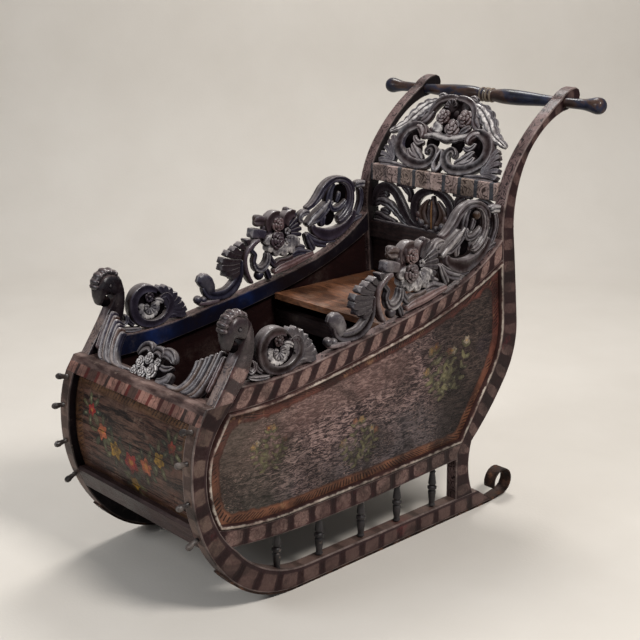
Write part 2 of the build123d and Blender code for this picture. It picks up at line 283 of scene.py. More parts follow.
# ---------------------------------------------------------------- carving
def band(rows, depth=12.0, reeds=3, groove=0.34, steps=40, power=3.0, saw=0.0, teeth=0, scoop=0.0, blunt=1.0,
        **marks):
    """A carved band or leaf: rows of right, up, half width and optional lift give its middle line. Across it
    is a superellipse, 1 minus the distance from the middle to a power, all to the root of that power. Its
    two faces are cut with reeds of uneven width, the absolute sine of the place across, and hollowed by
    scoop, deepest in the middle. The ends are round, or squarer for a low blunt. saw swells and narrows the
    edge teeth times along it. crown is near 1 on the ridges, low in the grooves, and middling on the
    sides."""
    rows = np.asarray([tuple(row) + (0.0,) * (4 - len(row)) for row in rows], float)
    line = through(rows, steps)
    run = run_of(line)
    tangent = np.gradient(line[:, :2], run, axis=0)
    tangent /= np.linalg.norm(tangent, axis=1)[:, None]
    sideways = np.stack([-tangent[:, 1], tangent[:, 0]], 1)
    start, end = max(rows[0, 2] * blunt, 2.0), max(rows[-1, 2] * blunt, 2.0)
    cap = np.sqrt(1 - (1 - np.clip(run / start, 0, 1)) ** 2)
    cap = cap * np.sqrt(1 - (1 - np.clip((run[-1] - run) / end, 0, 1)) ** 2)
    cap = np.maximum(cap, 0.04)
    wide = np.maximum(line[:, 2], 1.0) * cap
    if teeth:
        wide = wide * (1 + saw * (np.abs(np.sin(teeth * pi * run / run[-1])) - 0.6))
    thick = depth * cap * (0.7 + 0.3 * np.clip(line[:, 2] / rows[:, 2].max(), 0, 1))
    s = np.linspace(-1, 1, 6 * max(reeds, 2) + 1)
    a = np.sin(s * pi / 2)
    b = (1 - np.abs(a) ** power) ** (1 / power)
    warp = s + 0.10 * np.sin(pi * (s + 1)) * np.sin(rows[0, 0])
    ridge = np.abs(np.sin(pi * reeds * (warp + 1) / 2)) ** 0.7 if reeds else np.ones_like(s)
    hollow = 1 - np.clip(np.abs(a) / 0.80, 0, 1) ** 2
    side = smooth_step((np.abs(a) - 0.95) / 0.045)
    # crown carries painted light to the carved finish: low in the grooves for painted shade, high on the
    # ridges for a painted highlight
    crown = b ** (1.5 if reeds else 0.8) * (1.0 if reeds else 0.86) * (0.4 + 0.6 * ridge)
    crown = crown * (1 - min(1.0, 1.5 * scoop) * hollow)
    crown = crown * (1 - side) + 0.66 * side
    fade = 0.75 + 0.25 * np.sin(run / 13.0 + rows[0, 1])
    cut = 1 - groove * fade[:, None] * (1 - ridge) - scoop * hollow
    face = b * cut
    crown = np.concatenate([crown[:-1], crown[:0:-1]])
    a = np.concatenate([a[:-1], a[:0:-1]])
    face = np.concatenate([face[:, :-1], -face[:, :0:-1]], 1)
    place = line[:, None, :2] + sideways[:, None] * (a[None, :, None] * wide[:, None, None])
    lift = line[:, 3][:, None] + face * thick[:, None]
    return solid(np.concatenate([place, lift[:, :, None]], 2), crown=crown, **marks)


def fan(roots, tips, wide, depth, bow=0.10, **marks):
    """The lobes of a leaf: a hollowed band from each root to its tip, bowed to one side, widest near its
    squared end."""
    made = []
    for (y0, z0), (y1, z1) in zip(roots, tips):
        dy, dz = y1 - y0, z1 - z0
        rows = [(y0 + dy * part - dz * bow * side, z0 + dz * part + dy * bow * side, wide * width)
                for part, side, width in ((0, 0, 0.5), (0.4, 0.9, 0.8), (0.8, 0.8, 1.1), (1, 0, 1.0))]
        made.append(band(rows, depth, 0, 0.0, 18, 7.0, scoop=0.08, blunt=0.35, **marks))
    return made


def pillow(outline, centre, half, power=2.6, steps=10, crown=0.9, **marks):
    """A rounded pad: its outline shrinks to a centre on both faces while its height grows as 1 minus the
    shrunk share to a power, all to the root of that power."""
    share = np.sin(np.linspace(0.04, 1, steps) * pi / 2)
    share = np.concatenate([share, share[-2::-1]])
    rise = (1 - np.minimum(share, 0.9999) ** power) ** (1 / power) * half
    rise[steps - 1:] *= -1
    rise[steps - 1] = 0
    centre = np.asarray(centre, float)
    place = centre + (even(np.vstack([outline, outline[:1]]), 61)[:-1] - centre)[None] * share[:, None, None]
    points = np.concatenate([place, np.broadcast_to(rise[:, None, None], place.shape[:2] + (1,))], 2)
    # crown is highest on the top of the pad, so the carved finish paints shade towards its outline
    return solid(points, crown=crown * (0.66 + 0.34 * np.abs(rise[:, None]) / half), **marks)


def ball(right, up, radius, lift=0.0, flat=1.0, count=18, crown=0.7, **marks):
    """A round boss: an ellipsoid, flattened or drawn out of the plane."""
    polar = np.linspace(0, pi, count // 2 + 2)[1:-1]
    turn = np.linspace(0, 2 * pi, count, endpoint=False)
    ring = np.sin(polar)[:, None]
    points = np.stack([
        right + radius * ring * np.cos(turn),
        up + radius * ring * np.sin(turn),
        np.broadcast_to(lift + radius * flat * np.cos(polar)[:, None], (len(polar), count)),
    ], 2)
    # crown is highest at the poles, so the carved finish paints shade round the rim of the boss
    return solid(points, crown=crown * (0.6 + 0.4 * np.abs(np.cos(polar))[:, None]), **marks)


def petals(right, up, inside, outside, wide, count, turn=0.0, low=0.0, high=6.0, thick=3.5, sweep=360.0,
        sharp=0.75, reeds=2, **marks):
    """A ring of petals: each a scooped band of reeds from the inside to the outside radius, its tip
    lifted from low to high and narrowed to the share sharp."""
    made = []
    for number in range(count):
        angle = radians(turn + sweep * number / count)
        dp, dq = cos(angle), sin(angle)
        rows = []
        for part, width, lift in ((0, 0.5, 0.0), (0.4, 0.95, 0.5), (0.8, 1.08, 1.0), (1, sharp, 0.9)):
            reach = inside + (outside - inside) * part
            rows.append((right + dp * reach, up + dq * reach, wide * width, low + (high - low) * lift))
        made.append(band(rows, thick, reeds, 0.16, 12, 2.4, scoop=0.15, **marks))
    return made


def rose(right, up, radius, lift, **marks):
    """A rose head: three rings of short curved petals that climb round a small heart, over a duller pad."""
    made = [ball(right, up, radius * 0.9, lift, 0.3, 20, 0.45, **marks)]
    for reach, count, rise, turn in ((0.84, 5, 0.16, 12), (0.54, 4, 0.36, 50), (0.27, 3, 0.52, 20)):
        for number in range(count):
            start, span = radians(turn + 360 * number / count), 1.9 * pi / count
            rows = [(right + radius * reach * cos(start + span * part),
                     up + radius * reach * sin(start + span * part),
                     radius * 0.2 * width, lift + radius * rise)
                    for part, width in ((0, 0.5), (0.35, 1.1), (0.65, 1.1), (1, 0.5))]
            made.append(band(rows, radius * 0.2, 0, 0.0, 14, 2.4, **marks))
    return made + [ball(right, up, radius * 0.13, lift + radius * 0.6, **marks)]


def both_ways(solids):
    """Solids and their mirror image left to right in their own plane."""
    return solids + mirrored(solids)


def both_faces(solids):
    """Solids and their mirror image on the other face of the board."""
    return solids + placed(solids, (0, 0, 0), (1, 0, 0), (0, 1, 0), (0, 0, -1))


# ---------------------------------------------------------------- finishes
class Wire:
    """What one output of a node gives. Plus, minus, times, over, power and abs on it add a math node."""

    def __init__(self, recipe, socket):
        self.recipe, self.socket = recipe, socket

    def __abs__(self):
        return self.recipe.sum("ABSOLUTE", self)


SIGNS = {"add": "ADD", "sub": "SUBTRACT", "mul": "MULTIPLY", "truediv": "DIVIDE", "pow": "POWER"}
for sign, kind in SIGNS.items():
    setattr(Wire, f"__{sign}__", lambda a, b, kind=kind: a.recipe.sum(kind, a, b))
    setattr(Wire, f"__r{sign}__", lambda a, b, kind=kind: a.recipe.sum(kind, b, a))


class Recipe:
    """Adds nodes to a tree and joins them, so that a finish reads as a list of steps."""

    def __init__(self, tree):
        self.tree = tree

    def node(self, kind, values=None, **settings):
        node = self.tree.nodes.new(kind)
        for name, value in settings.items():
            setattr(node, name, value)
        for key, value in (values or {}).items():
            self.join(node.inputs[key], value)
        return node

    def wire(self, out, kind, values=None, **settings):
        return Wire(self, self.node(kind, values, **settings).outputs[out])

    def join(self, socket, value):
        if isinstance(value, Wire):
            self.tree.links.new(value.socket, socket)
        elif isinstance(value, tuple) and len(value) == 3 and socket.type == "RGBA":
            socket.default_value = value + (1.0,)
        else:
            socket.default_value = value

    def sum(self, kind, a, b=0.0):
        return self.wire(0, "ShaderNodeMath", {0: a, 1: b, 2: 0.0}, operation=kind)

    def fit(self, value, low, high, out_low=0.0, out_high=1.0):
        values = {"Value": value, "From Min": low, "From Max": high, "To Min": out_low, "To Max": out_high}
        return self.wire("Result", "ShaderNodeMapRange", values, interpolation_type="SMOOTHSTEP")

    def noise(self, place, scale, detail=4.0, rough=0.6, twist=0.0, out="Fac"):
        values = {"Vector": place, "Scale": scale, "Detail": detail, "Roughness": rough, "Distortion": twist}
        return self.wire(out, "ShaderNodeTexNoise", values)

    def cells(self, place, scale, feature="F1"):
        values = {"Vector": place, "Scale": scale}
        return self.wire("Distance", "ShaderNodeTexVoronoi", values, feature=feature)

    def pick(self, step):
        """One chance value from 0 to 1 for each whole step."""
        values = {"W": self.sum("FLOOR", step)}
        return self.wire("Value", "ShaderNodeTexWhiteNoise", values, noise_dimensions="1D")

    def stretch(self, place, scale, turn=(0.0, 0.0, 0.0)):
        return self.wire(0, "ShaderNodeMapping", {"Vector": place, "Scale": scale, "Rotation": turn})

    def mark(self, name):
        return self.wire("Fac", "ShaderNodeAttribute", attribute_name=name)

    def normal(self):
        return self.wire("Normal", "ShaderNodeNewGeometry")

    def axis(self, vector, name):
        return self.wire(name, "ShaderNodeSeparateXYZ", {0: vector})

    def mix(self, by, a, b):
        values = {0: by, 6: a, 7: b}
        return self.wire(2, "ShaderNodeMix", values, data_type="RGBA", blend_type="MIX", clamp_factor=True)

    def ramp(self, value, *stops):
        node = self.node("ShaderNodeValToRGB", {"Fac": value})
        marks = node.color_ramp.elements
        while len(marks) < len(stops):
            marks.new(0.5)
        for mark, (place, colour) in zip(marks, stops):
            mark.position = place
            mark.color = colour + (1.0,)
        return Wire(self, node.outputs["Color"])

    def bump(self, height, distance):
        return self.wire("Normal", "ShaderNodeBump", {"Height": height, "Distance": distance})

    def group(self, name, **values):
        node = self.node("ShaderNodeGroup", values, node_tree=bpy.data.node_groups[name])
        return {socket.name: Wire(self, socket) for socket in node.outputs}


def new_group(name, inputs, outputs):
    """An empty node group with its sockets, its recipe, and its inner ends."""
    tree = bpy.data.node_groups.new(name, "ShaderNodeTree")
    for way, sockets in (("INPUT", inputs), ("OUTPUT", outputs)):
        for title, kind in sockets:
            tree.interface.new_socket(name=title, in_out=way, socket_type=kind)
    steps = Recipe(tree)
    ends = steps.node("NodeGroupInput").outputs
    given = {socket.name: Wire(steps, socket) for socket in ends if socket.name}
    return steps, given, steps.node("NodeGroupOutput").inputs


VALUE, COLOUR, VECTOR = "NodeSocketFloat", "NodeSocketColor", "NodeSocketVector"


def grain_group():
    """Wood grain: long noise drawn out along one axis, with finer pores on it."""
    r, given, out = new_group("Wood grain", [("Place", VECTOR)], [("Grain", VALUE), ("Pores", VALUE)])
    broad = r.noise(given["Place"], 14.0, 5.0, 0.62, 1.2)
    fine = r.noise(given["Place"], 60.0, 4.0, 0.7)
    r.join(out["Grain"], broad * 0.65 + fine * 0.35)
    r.join(out["Pores"], r.fit(fine, 0.56, 0.72))


def age_group():
    """Age on any paint: dark grime in broad clouds, pale dust in patches, small chips and scratches."""
    r, given, out = new_group(
        "Age", [("Colour", COLOUR), ("Place", VECTOR), ("Worn", VALUE)],
        [("Colour", COLOUR), ("Shine", VALUE), ("Height", VALUE)],
    )
    place = given["Place"]
    clouds = r.noise(place, 9.0, 6.0, 0.65, 0.6)
    specks = r.noise(place, 160.0, 5.0, 0.7)
    chips = r.noise(place, 48.0, 7.0, 0.74)
    grime = r.fit(clouds, 0.58, 0.36, 0.0, 0.60)
    dusty = r.fit(clouds, 0.52, 0.74, 0.0, 0.16) * r.fit(specks, 0.35, 0.65)
    colour = r.mix(grime, given["Colour"], tone(20, 14, 14))
    colour = r.mix(dusty, colour, tone(140, 124, 114))
    bare = r.fit(chips + given["Worn"] * 0.19, 0.66, 0.78, 0.0, 0.8)
    colour = r.mix(bare, colour, r.mix(specks, tone(110, 88, 78), tone(178, 160, 146)))
    r.join(out["Colour"], colour)
    r.join(out["Shine"], r.fit(clouds + bare * 0.2, 0.35, 0.8, 0.3, 0.62))
    r.join(out["Height"], specks * 0.5 + bare * -0.6)


def swirls_group():
    """Small painted curls: rings round scattered points, broken by noise. Mark is 1 on a stroke."""
    r, given, out = new_group("Painted curls", [("Place", VECTOR)], [("Mark", VALUE)])
    offset = r.noise(given["Place"], 1.2, 2.0, 0.5, 0.0, "Color")
    bent = r.wire(0, "ShaderNodeVectorMath", {0: given["Place"], 1: offset})
    reach = r.cells(bent, 1.0)
    turns = r.sum("FRACT", reach * 4.2)
    stroke = r.fit(turns, 0.25, 0.4) * r.fit(turns, 0.78, 0.62)
    r.join(out["Mark"], stroke * r.fit(r.noise(given["Place"], 1.6, 3.0), 0.4, 0.52))


def sprigs_group():
    """Painted sprigs read from four marks: leaf and bloom are the distance from the middle of the nearest
    leaf or flower, 1 at its edge, and their picks choose its colour. Fine noise breaks their edges and
    rubs them away in places."""
    r, given, out = new_group(
        "Painted sprigs",
        [("Place", VECTOR), ("Ground", COLOUR), ("Green 1", COLOUR), ("Green 2", COLOUR),
         ("Bloom 1", COLOUR), ("Bloom 2", COLOUR), ("Bloom 3", COLOUR)],
        [("Colour", COLOUR), ("Height", VALUE)],
    )
    place = given["Place"]
    rough = r.noise(place, 95.0, 4.0, 0.65)
    rag = (rough - 0.5) * 0.9
    fade = r.fit(r.noise(place, 42.0, 4.0, 0.7), 0.34, 0.56, 0.15, 0.95)
    leaf = r.mark("leaf") + rag
    green = r.mix(r.mark("leafpick"), given["Green 1"], given["Green 2"])
    green = r.mix(r.fit(leaf, 0.50, 0.15, 0.0, 0.5), green, tone(150, 146, 120))
    colour = r.mix(r.fit(leaf, 1.25, 0.95, 0.0, 0.6) * fade, given["Ground"], tone(34, 30, 26))
    colour = r.mix(r.fit(leaf, 1.0, 0.8) * fade, colour, green)
    bloom = r.mark("bloom") + rag
    pick = r.mark("bloompick")
    others = r.mix(r.fit(pick, 0.62, 0.68), given["Bloom 2"], given["Bloom 3"])
    petal = r.mix(r.fit(pick, 0.3, 0.36), given["Bloom 1"], others)
    petal = r.mix(r.fit(rough, 0.56, 0.44, 0.0, 0.7), petal, r.mix(0.6, petal, tone(40, 22, 20)))
    petal = r.mix(r.fit(bloom, 0.45, 0.25, 0.0, 0.8), petal, r.mix(0.6, petal, tone(186, 142, 62)))
    colour = r.mix(r.fit(bloom, 1.2, 1.0, 0.0, 0.6) * fade, colour, tone(40, 30, 27))
    colour = r.mix(r.fit(bloom, 1.0, 0.86) * fade, colour, petal)
    r.join(out["Colour"], colour)
    r.join(out["Height"], r.fit(r.sum("MINIMUM", leaf, bloom), 1.05, 0.8) * 0.4)


def blocks_group(period):
    """Painted blocks along a bar. The run along it, leaned by the side and bent a little by noise, is cut in
    periods: the first share of each is dark, the rest a block with a dark outline and a paler rubbed oval.
    The blocks are lighter or darker by turns, and some are stained red."""
    r, given, out = new_group(
        "Painted blocks",
        [("Along", VALUE), ("Across", VALUE), ("Side", VALUE), ("Share", VALUE), ("Lean", VALUE),
         ("Oval", VALUE), ("Place", VECTOR), ("Block", COLOUR), ("Pale", COLOUR), ("Dark", COLOUR)],
        [("Colour", COLOUR), ("Height", VALUE)],
    )
    place, share = given["Place"], given["Share"]
    wave = (r.noise(place, 26.0, 3.0) - 0.5) * 0.007
    lean = given["Side"] * given["Lean"]
    step = (given["Along"] + wave + lean) / period
    part = r.sum("FRACT", step)
    pick = r.pick(step)
    dark = r.fit(part, 0.0, 0.03) * r.fit(part - share, 0.02, -0.02)
    half = (1.0 - share) * 0.5
    off = abs((part - (share + 1.0) * 0.5) / half)
    streak = r.noise(place, 85.0, 5.0, 0.7, 1.5)
    ragged = (streak - 0.5) * 0.8
    ring = off ** 2.4 + (given["Across"] / 0.9) ** 3.0
    oval = r.fit(ring + ragged, 1.0, 0.55) * given["Oval"]
    deeper = r.mix(0.55, given["Block"], given["Dark"])
    block = r.mix(r.fit(pick, 0.0, 1.0, 0.0, 0.55), given["Block"], deeper)
    block = r.mix(r.fit(streak, 0.45, 0.65, 0.0, 0.5), block, r.mix(0.6, given["Block"], given["Dark"]))
    pale = r.mix(r.fit(streak, 0.34, 0.72), given["Pale"], given["Block"])
    pale = r.mix(r.fit(r.noise(place, 6.0, 2.0), 0.48, 0.62, 0.0, 0.6), pale, given["Block"])
    colour = r.mix(oval, block, pale)
    line = r.fit(off + ragged * 0.15, 0.8, 0.93) * 0.75
    colour = r.mix(line, colour, given["Dark"])
    deep = r.mix(r.fit(streak, 0.4, 0.7, 0.0, 0.6), given["Dark"], r.mix(0.30, given["Dark"], given["Block"]))
    colour = r.mix(dark * 0.96, colour, deep)
    stain = r.fit(r.noise(place, 7.5, 4.0, 0.6, 0.5), 0.6, 0.7) * r.fit(streak, 0.4, 0.6, 0.6, 0.1)
    colour = r.mix(stain, colour, tone(98, 38, 42))
    r.join(out["Colour"], colour)
    r.join(out["Height"], streak * 0.4 - dark * 0.3)


def new_finish(name):
    """A material with a recipe for its nodes, the inputs of its principled shader, and the place on the
    object."""
    finish = bpy.data.materials.new(name)
    finish.use_nodes = True
    shader = finish.node_tree.nodes["Principled BSDF"].inputs
    shader["Specular IOR Level"].default_value = 0.12
    r = Recipe(finish.node_tree)
    return finish, r, shader, r.wire("Object", "ShaderNodeTexCoord")


def aged(r, shader, colour, place, worn=0.0, depth=0.0006, extra=None):
    """Lays the age group over a colour and joins colour, shine and height to the shader."""
    age = r.group("Age", Colour=colour, Place=place, Worn=worn)
    r.join(shader["Base Color"], age["Colour"])
    r.join(shader["Roughness"], age["Shine"])
    height = age["Height"]
    if extra is not None:
        height = height + extra
    r.join(shader["Normal"], r.bump(height, depth))


def inward(r, place):
    """1 where a face is turned to the middle of the sleigh: its normal and its place point opposite ways."""
    return r.fit(r.axis(r.normal(), "X") * r.axis(place, "X"), -0.06, -0.14)


def striped_finish(name, tones, inner, edge, phase=0.0, lean=0.0, bow=False, dim=0.0):
    """Painted blocks on the outer face of a bar, a worn ground with small curls on its narrow faces, and
    another paint inside. On the bows the blocks are tan, go round to the narrow face, and a dark line runs
    along the outer corner."""
    finish, r, shader, place = new_finish(name)
    block, light = (tuple(a + (b - a) * dim for a, b in zip(paint, tones.oxblood))
                    for paint in (tones.block, tones.pale))
    along = r.mark("along") + phase
    facing, across = r.mark("facing"), r.mark("across")
    height = r.axis(place, "Z")
    tan = r.mix(r.fit(height, 0.10, 0.20), light, tone(100, 83, 74)) if bow else light
    if bow:
        block = tuple(a + (b - a) * 0.5 for a, b in zip(block, light))
    blocks = r.group("Painted blocks", Along=along, Across=across, Side=r.mark("side"), Lean=lean,
        Oval=0.9 if bow else 1.0, Share=r.mark("share"), Place=place, Block=block, Pale=tan,
        Dark=tones.oxblood)
    curls = r.group("Painted curls", Place=r.stretch(place, (40.0, 34.0, 34.0)))
    rough = r.noise(place, 24.0, 5.0, 0.65)
    narrow = r.mix(r.fit(rough, 0.4, 0.62), r.mix(0.45, edge, tones.oxblood), edge)
    narrow = r.mix(curls["Mark"] * 0.95, narrow, tone(24, 16, 18))
    if bow:
        narrow = r.mix(0.82, r.mix(0.5, narrow, tone(168, 146, 128)), blocks["Colour"])
    colour = r.mix(r.fit(abs(facing), 0.35, 0.75), narrow, blocks["Colour"])
    cloud = r.noise(place, 5.0, 3.0)
    inside = r.mix(r.fit(cloud, 0.52, 0.70), r.mix(0.82, inner, tone(10, 9, 13)), inner)
    inside = r.mix(r.fit(rough, 0.5, 0.7, 0.0, 0.5), inside, tone(24, 18, 20))
    # painted shade: the inner faces darken towards the back of the sleigh
    length = r.axis(place, "Y")
    inside = r.mix(r.fit(length, -0.06, 0.08, 0.0, 0.85), inside, tone(20, 15, 17))
    colour = r.mix(r.fit(facing, -0.4, -0.8), colour, inside)
    if bow:
        out_x = abs(r.axis(place, "X"))
        strip = r.fit(r.mark("side"), -0.5, -0.64) * r.fit(facing, 0.2, 0.6)
        colour = r.mix(strip * 0.85, colour, r.mix(rough, tones.oxblood, tone(54, 38, 40)))
        line = r.fit(out_x, 0.2455, 0.2465) * r.fit(facing, 0.95, 0.8)
        colour = r.mix(line * r.fit(r.mark("side"), -0.2, 0.2, 0.3, 0.9), colour, tone(16, 11, 13))
    # rubbed pale corners, which are also a painted highlight line along them, weaker on faces turned inwards
    rub = r.fit(across + rough * 0.25, 1.04, 1.16) * r.fit(facing, -0.5, 0.0, 0.2, 0.5)
    colour = r.mix(rub, colour, tone(150, 134, 128))
    aged(r, shader, colour, place, r.fit(across, 0.82, 1.0, 0.0, 0.4), 0.0007, blocks["Height"])
    return finish


def carved_finish(name, grey, brown, blue, gilt, bright, tones=None):
    """Carving weathered and painted with light: painted shade near black in the grooves and on the faces that
    do not turn up, silver grey on the ridges as rubbed wear and a painted highlight, a painted top light on
    faces turned up, brown and blue-green clouds, bluer on the faces turned to the rider. pale lightens or
    darkens a form, and below 0 it also paints the black discs that stand for the shade behind the carvings;
    tint makes it brown and gold, or rosy below 0, and painted lays the blocks of the bars over it."""
    finish, r, shader, place = new_finish(name)
    crown, pale, tint = r.mark("crown"), r.mark("pale"), r.mark("tint")
    fine = r.noise(place, 130.0, 5.0, 0.7)
    rough = r.noise(place, 32.0, 5.0, 0.65)
    grime = r.noise(place, 58.0, 6.0, 0.72, 0.5)
    high = crown + (rough - 0.5) * 0.8
    # by crown: painted shade near black in the grooves, a painted highlight on the ridges over rubbed wear
    base = r.ramp(high, (0.26, tone(8, 6, 7)), (0.54, tone(34, 28, 29)), (0.82, grey), (1.0, bright))
    base = r.mix(r.fit(r.noise(place, 11.0, 4.0), 0.46, 0.64, 0.0, 0.6), base,
        r.mix(high, tone(30, 20, 20), brown))
    base = r.mix(r.fit(r.noise(place, 16.0, 3.0, 0.5, 0.8), 0.56, 0.7, 0.0, 0.35), base,
        r.mix(high, tone(18, 19, 24), tone(76, 82, 88)))
    base = r.mix(inward(r, place) * 0.7, base, r.mix(high, tone(10, 10, 18), blue))
    rise = r.axis(r.normal(), "Z")
    # painted shade: faces that do not turn up are darkened
    base = r.mix(r.fit(rise, 0.40, 0.0, 0.0, 0.34), base, tone(22, 17, 19))
    silver = r.fit(pale, 0.0, 1.0) * r.fit(grime, 0.58, 0.44, 0.25, 0.95)
    # silver forms: painted shade near black in the grooves, a painted highlight near white on the ridges
    metal = r.ramp(high, (0.26, tone(19, 17, 20)), (0.6, tone(108, 104, 108)), (0.84, tone(214, 208, 204)))
    base = r.mix(silver, base, metal)
    # pale below 0 darkens towards black; the black discs behind the carvings are painted shade this way
    base = r.mix(r.fit(pale, 0.0, -1.0) * 0.9, base, r.mix(high, tone(8, 6, 7), tone(46, 38, 42)))
    base = r.mix(r.fit(tint, 0.0, 1.0) * 0.8, base, r.mix(high, tone(26, 15, 11), gilt))
    base = r.mix(r.fit(tint, 0.0, -1.0) * 0.6, base, r.mix(high, tone(34, 20, 21), tone(146, 112, 105)))
    # painted top light: faces turned up are lightened, except on silver forms
    painted_top_light = r.fit(rise, 0.35, 0.8, 0.0, 0.8) * r.fit(silver, 0.8, 0.2)
    base = r.mix(painted_top_light, base, r.mix(high, tone(30, 22, 22), r.mix(0.7, brown, bright)))
    if tones:
        blocks = r.group("Painted blocks", Along=r.mark("along"), Across=r.mark("across"),
            Side=r.mark("side"), Lean=0.0, Oval=0.8, Share=r.mark("share"), Place=place, Block=tones.block,
            Pale=tones.pale, Dark=tones.oxblood)
        flat = r.mark("painted") * r.fit(r.mark("facing"), 0.3, 0.8)
        base = r.mix(flat, base, blocks["Colour"])
        curls = r.group("Painted curls", Place=r.stretch(place, (40.0, 34.0, 34.0)))
        edge = r.mark("painted") * r.fit(abs(r.mark("facing")), 0.75, 0.35)
        curled = r.mix(curls["Mark"], tone(122, 104, 96), tone(34, 24, 26))
        base = r.mix(edge * r.fit(grime, 0.6, 0.44, 0.35, 0.85), base, curled)
    rub = fine + high * 0.16
    base = r.mix(r.fit(rub, 0.75, 0.90, 0.0, 0.6), base, tone(158, 148, 144))
    base = r.mix(r.fit(grime, 0.56, 0.72, 0.0, 0.55), base, tone(16, 12, 13))
    r.join(shader["Base Color"], base)
    r.join(shader["Roughness"], r.fit(rough, 0.35, 0.7, 0.22, 0.42) + r.fit(high, 0.6, 0.2, 0.0, 0.4))
    r.join(shader["Specular IOR Level"], r.fit(high, 0.35, 0.85, 0.0, 0.5))
    height = fine * 0.5 + rough * 0.8
    r.join(shader["Normal"], r.bump(height, 0.0011))
    return finish


def board_finish(name, light, dark, stretch, shine=0.5, dust=0.3):
    """Old boards: grain drawn out along one axis, dark pores, dust and wear."""
    finish, r, shader, place = new_finish(name)
    grain = r.group("Wood grain", Place=r.stretch(place, stretch))
    streak = r.fit(grain["Grain"], 0.36, 0.64)
    colour = r.mix(streak, dark, light)
    colour = r.mix(grain["Pores"] * 0.55, colour, r.mix(0.5, dark, tone(12, 9, 8)))
    colour = r.mix(r.fit(r.noise(place, 22.0, 5.0), 0.55, 0.75, 0.0, dust), colour, tone(152, 134, 116))
    aged(r, shader, colour, place, 0.0, 0.0008, grain["Grain"] * -1.2)
    shader["Specular IOR Level"].default_value = shine
    return finish


def panel_border(r, place, ground, border, wide, share):
    """The painted border of a panel: a faded band along its outline, darker at its inner edge, with a row of
    short slanted dark dashes in it. field is the distance from the outline with its corners rounded."""
    gap, along = r.mark("field"), r.mark("along")
    rough = r.noise(place, 40.0, 5.0, 0.65)
    edge = gap + (rough - 0.5) * 0.009
    slant = (gap + rough * 0.014) * 0.5
    step = (along + slant) / 0.0105
    part = r.sum("FRACT", step)
    pick = r.pick(step)
    thin = r.fit(part, 0.1, 0.22) * r.fit(part, 0.62, 0.46)
    low = (pick + 2.2) * 0.0035
    lane = r.fit(edge - low, 0.0, 0.002) * r.fit(edge, 0.0265, 0.0235)
    dash = thin * lane * r.fit(r.noise(place, 14.0, 4.0), 0.4, 0.5)
    dull = r.mix(0.66, border, tone(40, 26, 26))
    trim = r.mix(r.fit(r.noise(place, 11.0, 5.0, 0.65), 0.38, 0.60), dull, border)
    trim = r.mix(r.fit(rough, 0.56, 0.70, 0.0, 0.5), trim, r.mix(0.5, border, tone(190, 150, 110)))
    trim = r.mix(dash * 0.9, trim, tone(24, 16, 15))
    trim = r.mix(r.fit(edge, wide - 0.006, wide - 0.001, 0.0, 0.55), trim, tone(46, 30, 26))
    return r.mix(r.fit(edge, wide + 0.002, wide - 0.002) * share, ground, trim)


def side_panel_finish(name, tones):
    """Painted side panel: an orange-brown border with dark dashes, a field streaked mauve with pale flecks,
    slate low down and dark to the back, crackled, and faded sprays of leaves and small flowers."""
    finish, r, shader, place = new_finish(name)
    y, z = r.axis(place, "Y"), r.axis(place, "Z")
    tilt = (radians(-16), 0.0, 0.0)
    streaks = r.noise(r.stretch(place, (1.0, 4.0, 17.0), tilt), 9.0, 6.0, 0.70, 1.6)
    flecks = r.noise(r.stretch(place, (1.0, 20.0, 80.0), (radians(-24), 0.0, 0.0)), 6.0, 4.0, 0.6, 1.2)
    clouds = (r.noise(place, 5.0, 4.0, 0.55) - 0.5) * 0.34
    slope = z - y * 0.16 + clouds
    ends = y + clouds
    ground = r.ramp(streaks, (0.42, tone(22, 16, 19)), (0.50, tones.ground), (0.59, tone(150, 126, 120)))
    warm = r.fit(slope, 0.36, 0.44) * r.fit(ends, 0.1, 0.0)
    ground = r.mix(warm * 0.55, ground, r.mix(streaks, tone(74, 50, 48), tone(140, 112, 104)))
    slate = r.ramp(streaks, (0.4, tone(24, 23, 26)), (0.6, tone(82, 76, 78)))
    ground = r.mix(r.fit(slope, 0.36, 0.24, 0.0, 0.85), ground, slate)
    dusk = r.ramp(streaks, (0.4, tone(16, 13, 15)), (0.62, tone(58, 47, 42)))
    ground = r.mix(r.fit(ends, 0.04, 0.18, 0.0, 0.88), ground, dusk)
    olive = r.mix(streaks, tone(22, 22, 20), tone(76, 72, 62))
    ground = r.mix(r.fit(ends, -0.3, -0.44, 0.0, 0.7), ground, olive)
    ground = r.mix(r.fit(r.noise(place, 4.0, 3.0, 0.6), 0.60, 0.72, 0.0, 0.7), ground, tone(44, 36, 44))
    pale = r.fit(flecks, 0.55, 0.66) * r.fit(r.noise(place, 7.0, 3.0), 0.4, 0.56)
    pale = pale * r.fit(ends, 0.16, 0.02, 0.15, 0.75)
    ground = r.mix(pale, ground, tone(168, 140, 130))
    paints = {"Green 1": tone(60, 58, 46), "Green 2": tone(112, 106, 78), "Bloom 1": tone(140, 116, 86),
              "Bloom 2": tone(126, 88, 74), "Bloom 3": tone(154, 140, 122)}
    sprigs = r.group("Painted sprigs", Place=place, Ground=ground, **paints)
    border = r.mix(r.fit(z, 0.20, 0.50), r.mix(0.2, tones.border, tone(150, 112, 88)), tone(92, 52, 45))
    colour = panel_border(r, place, sprigs["Colour"], border, 0.032, 0.96)
    cracks = r.cells(r.stretch(place, (0.6, 1.6, 5.0), tilt), 11.0, "DISTANCE_TO_EDGE")
    crack = r.fit(cracks, 0.012, 0.0) * r.fit(r.noise(place, 6.0, 2.0), 0.45, 0.6)
    colour = r.mix(crack * 0.7, colour, tone(20, 15, 14))
    colour = r.mix(inward(r, place), colour, r.mix(streaks, tone(16, 8, 9), tone(38, 20, 19)))
    aged(r, shader, colour, place, 0.0, 0.0007, streaks * 1.6 - crack)
    return finish


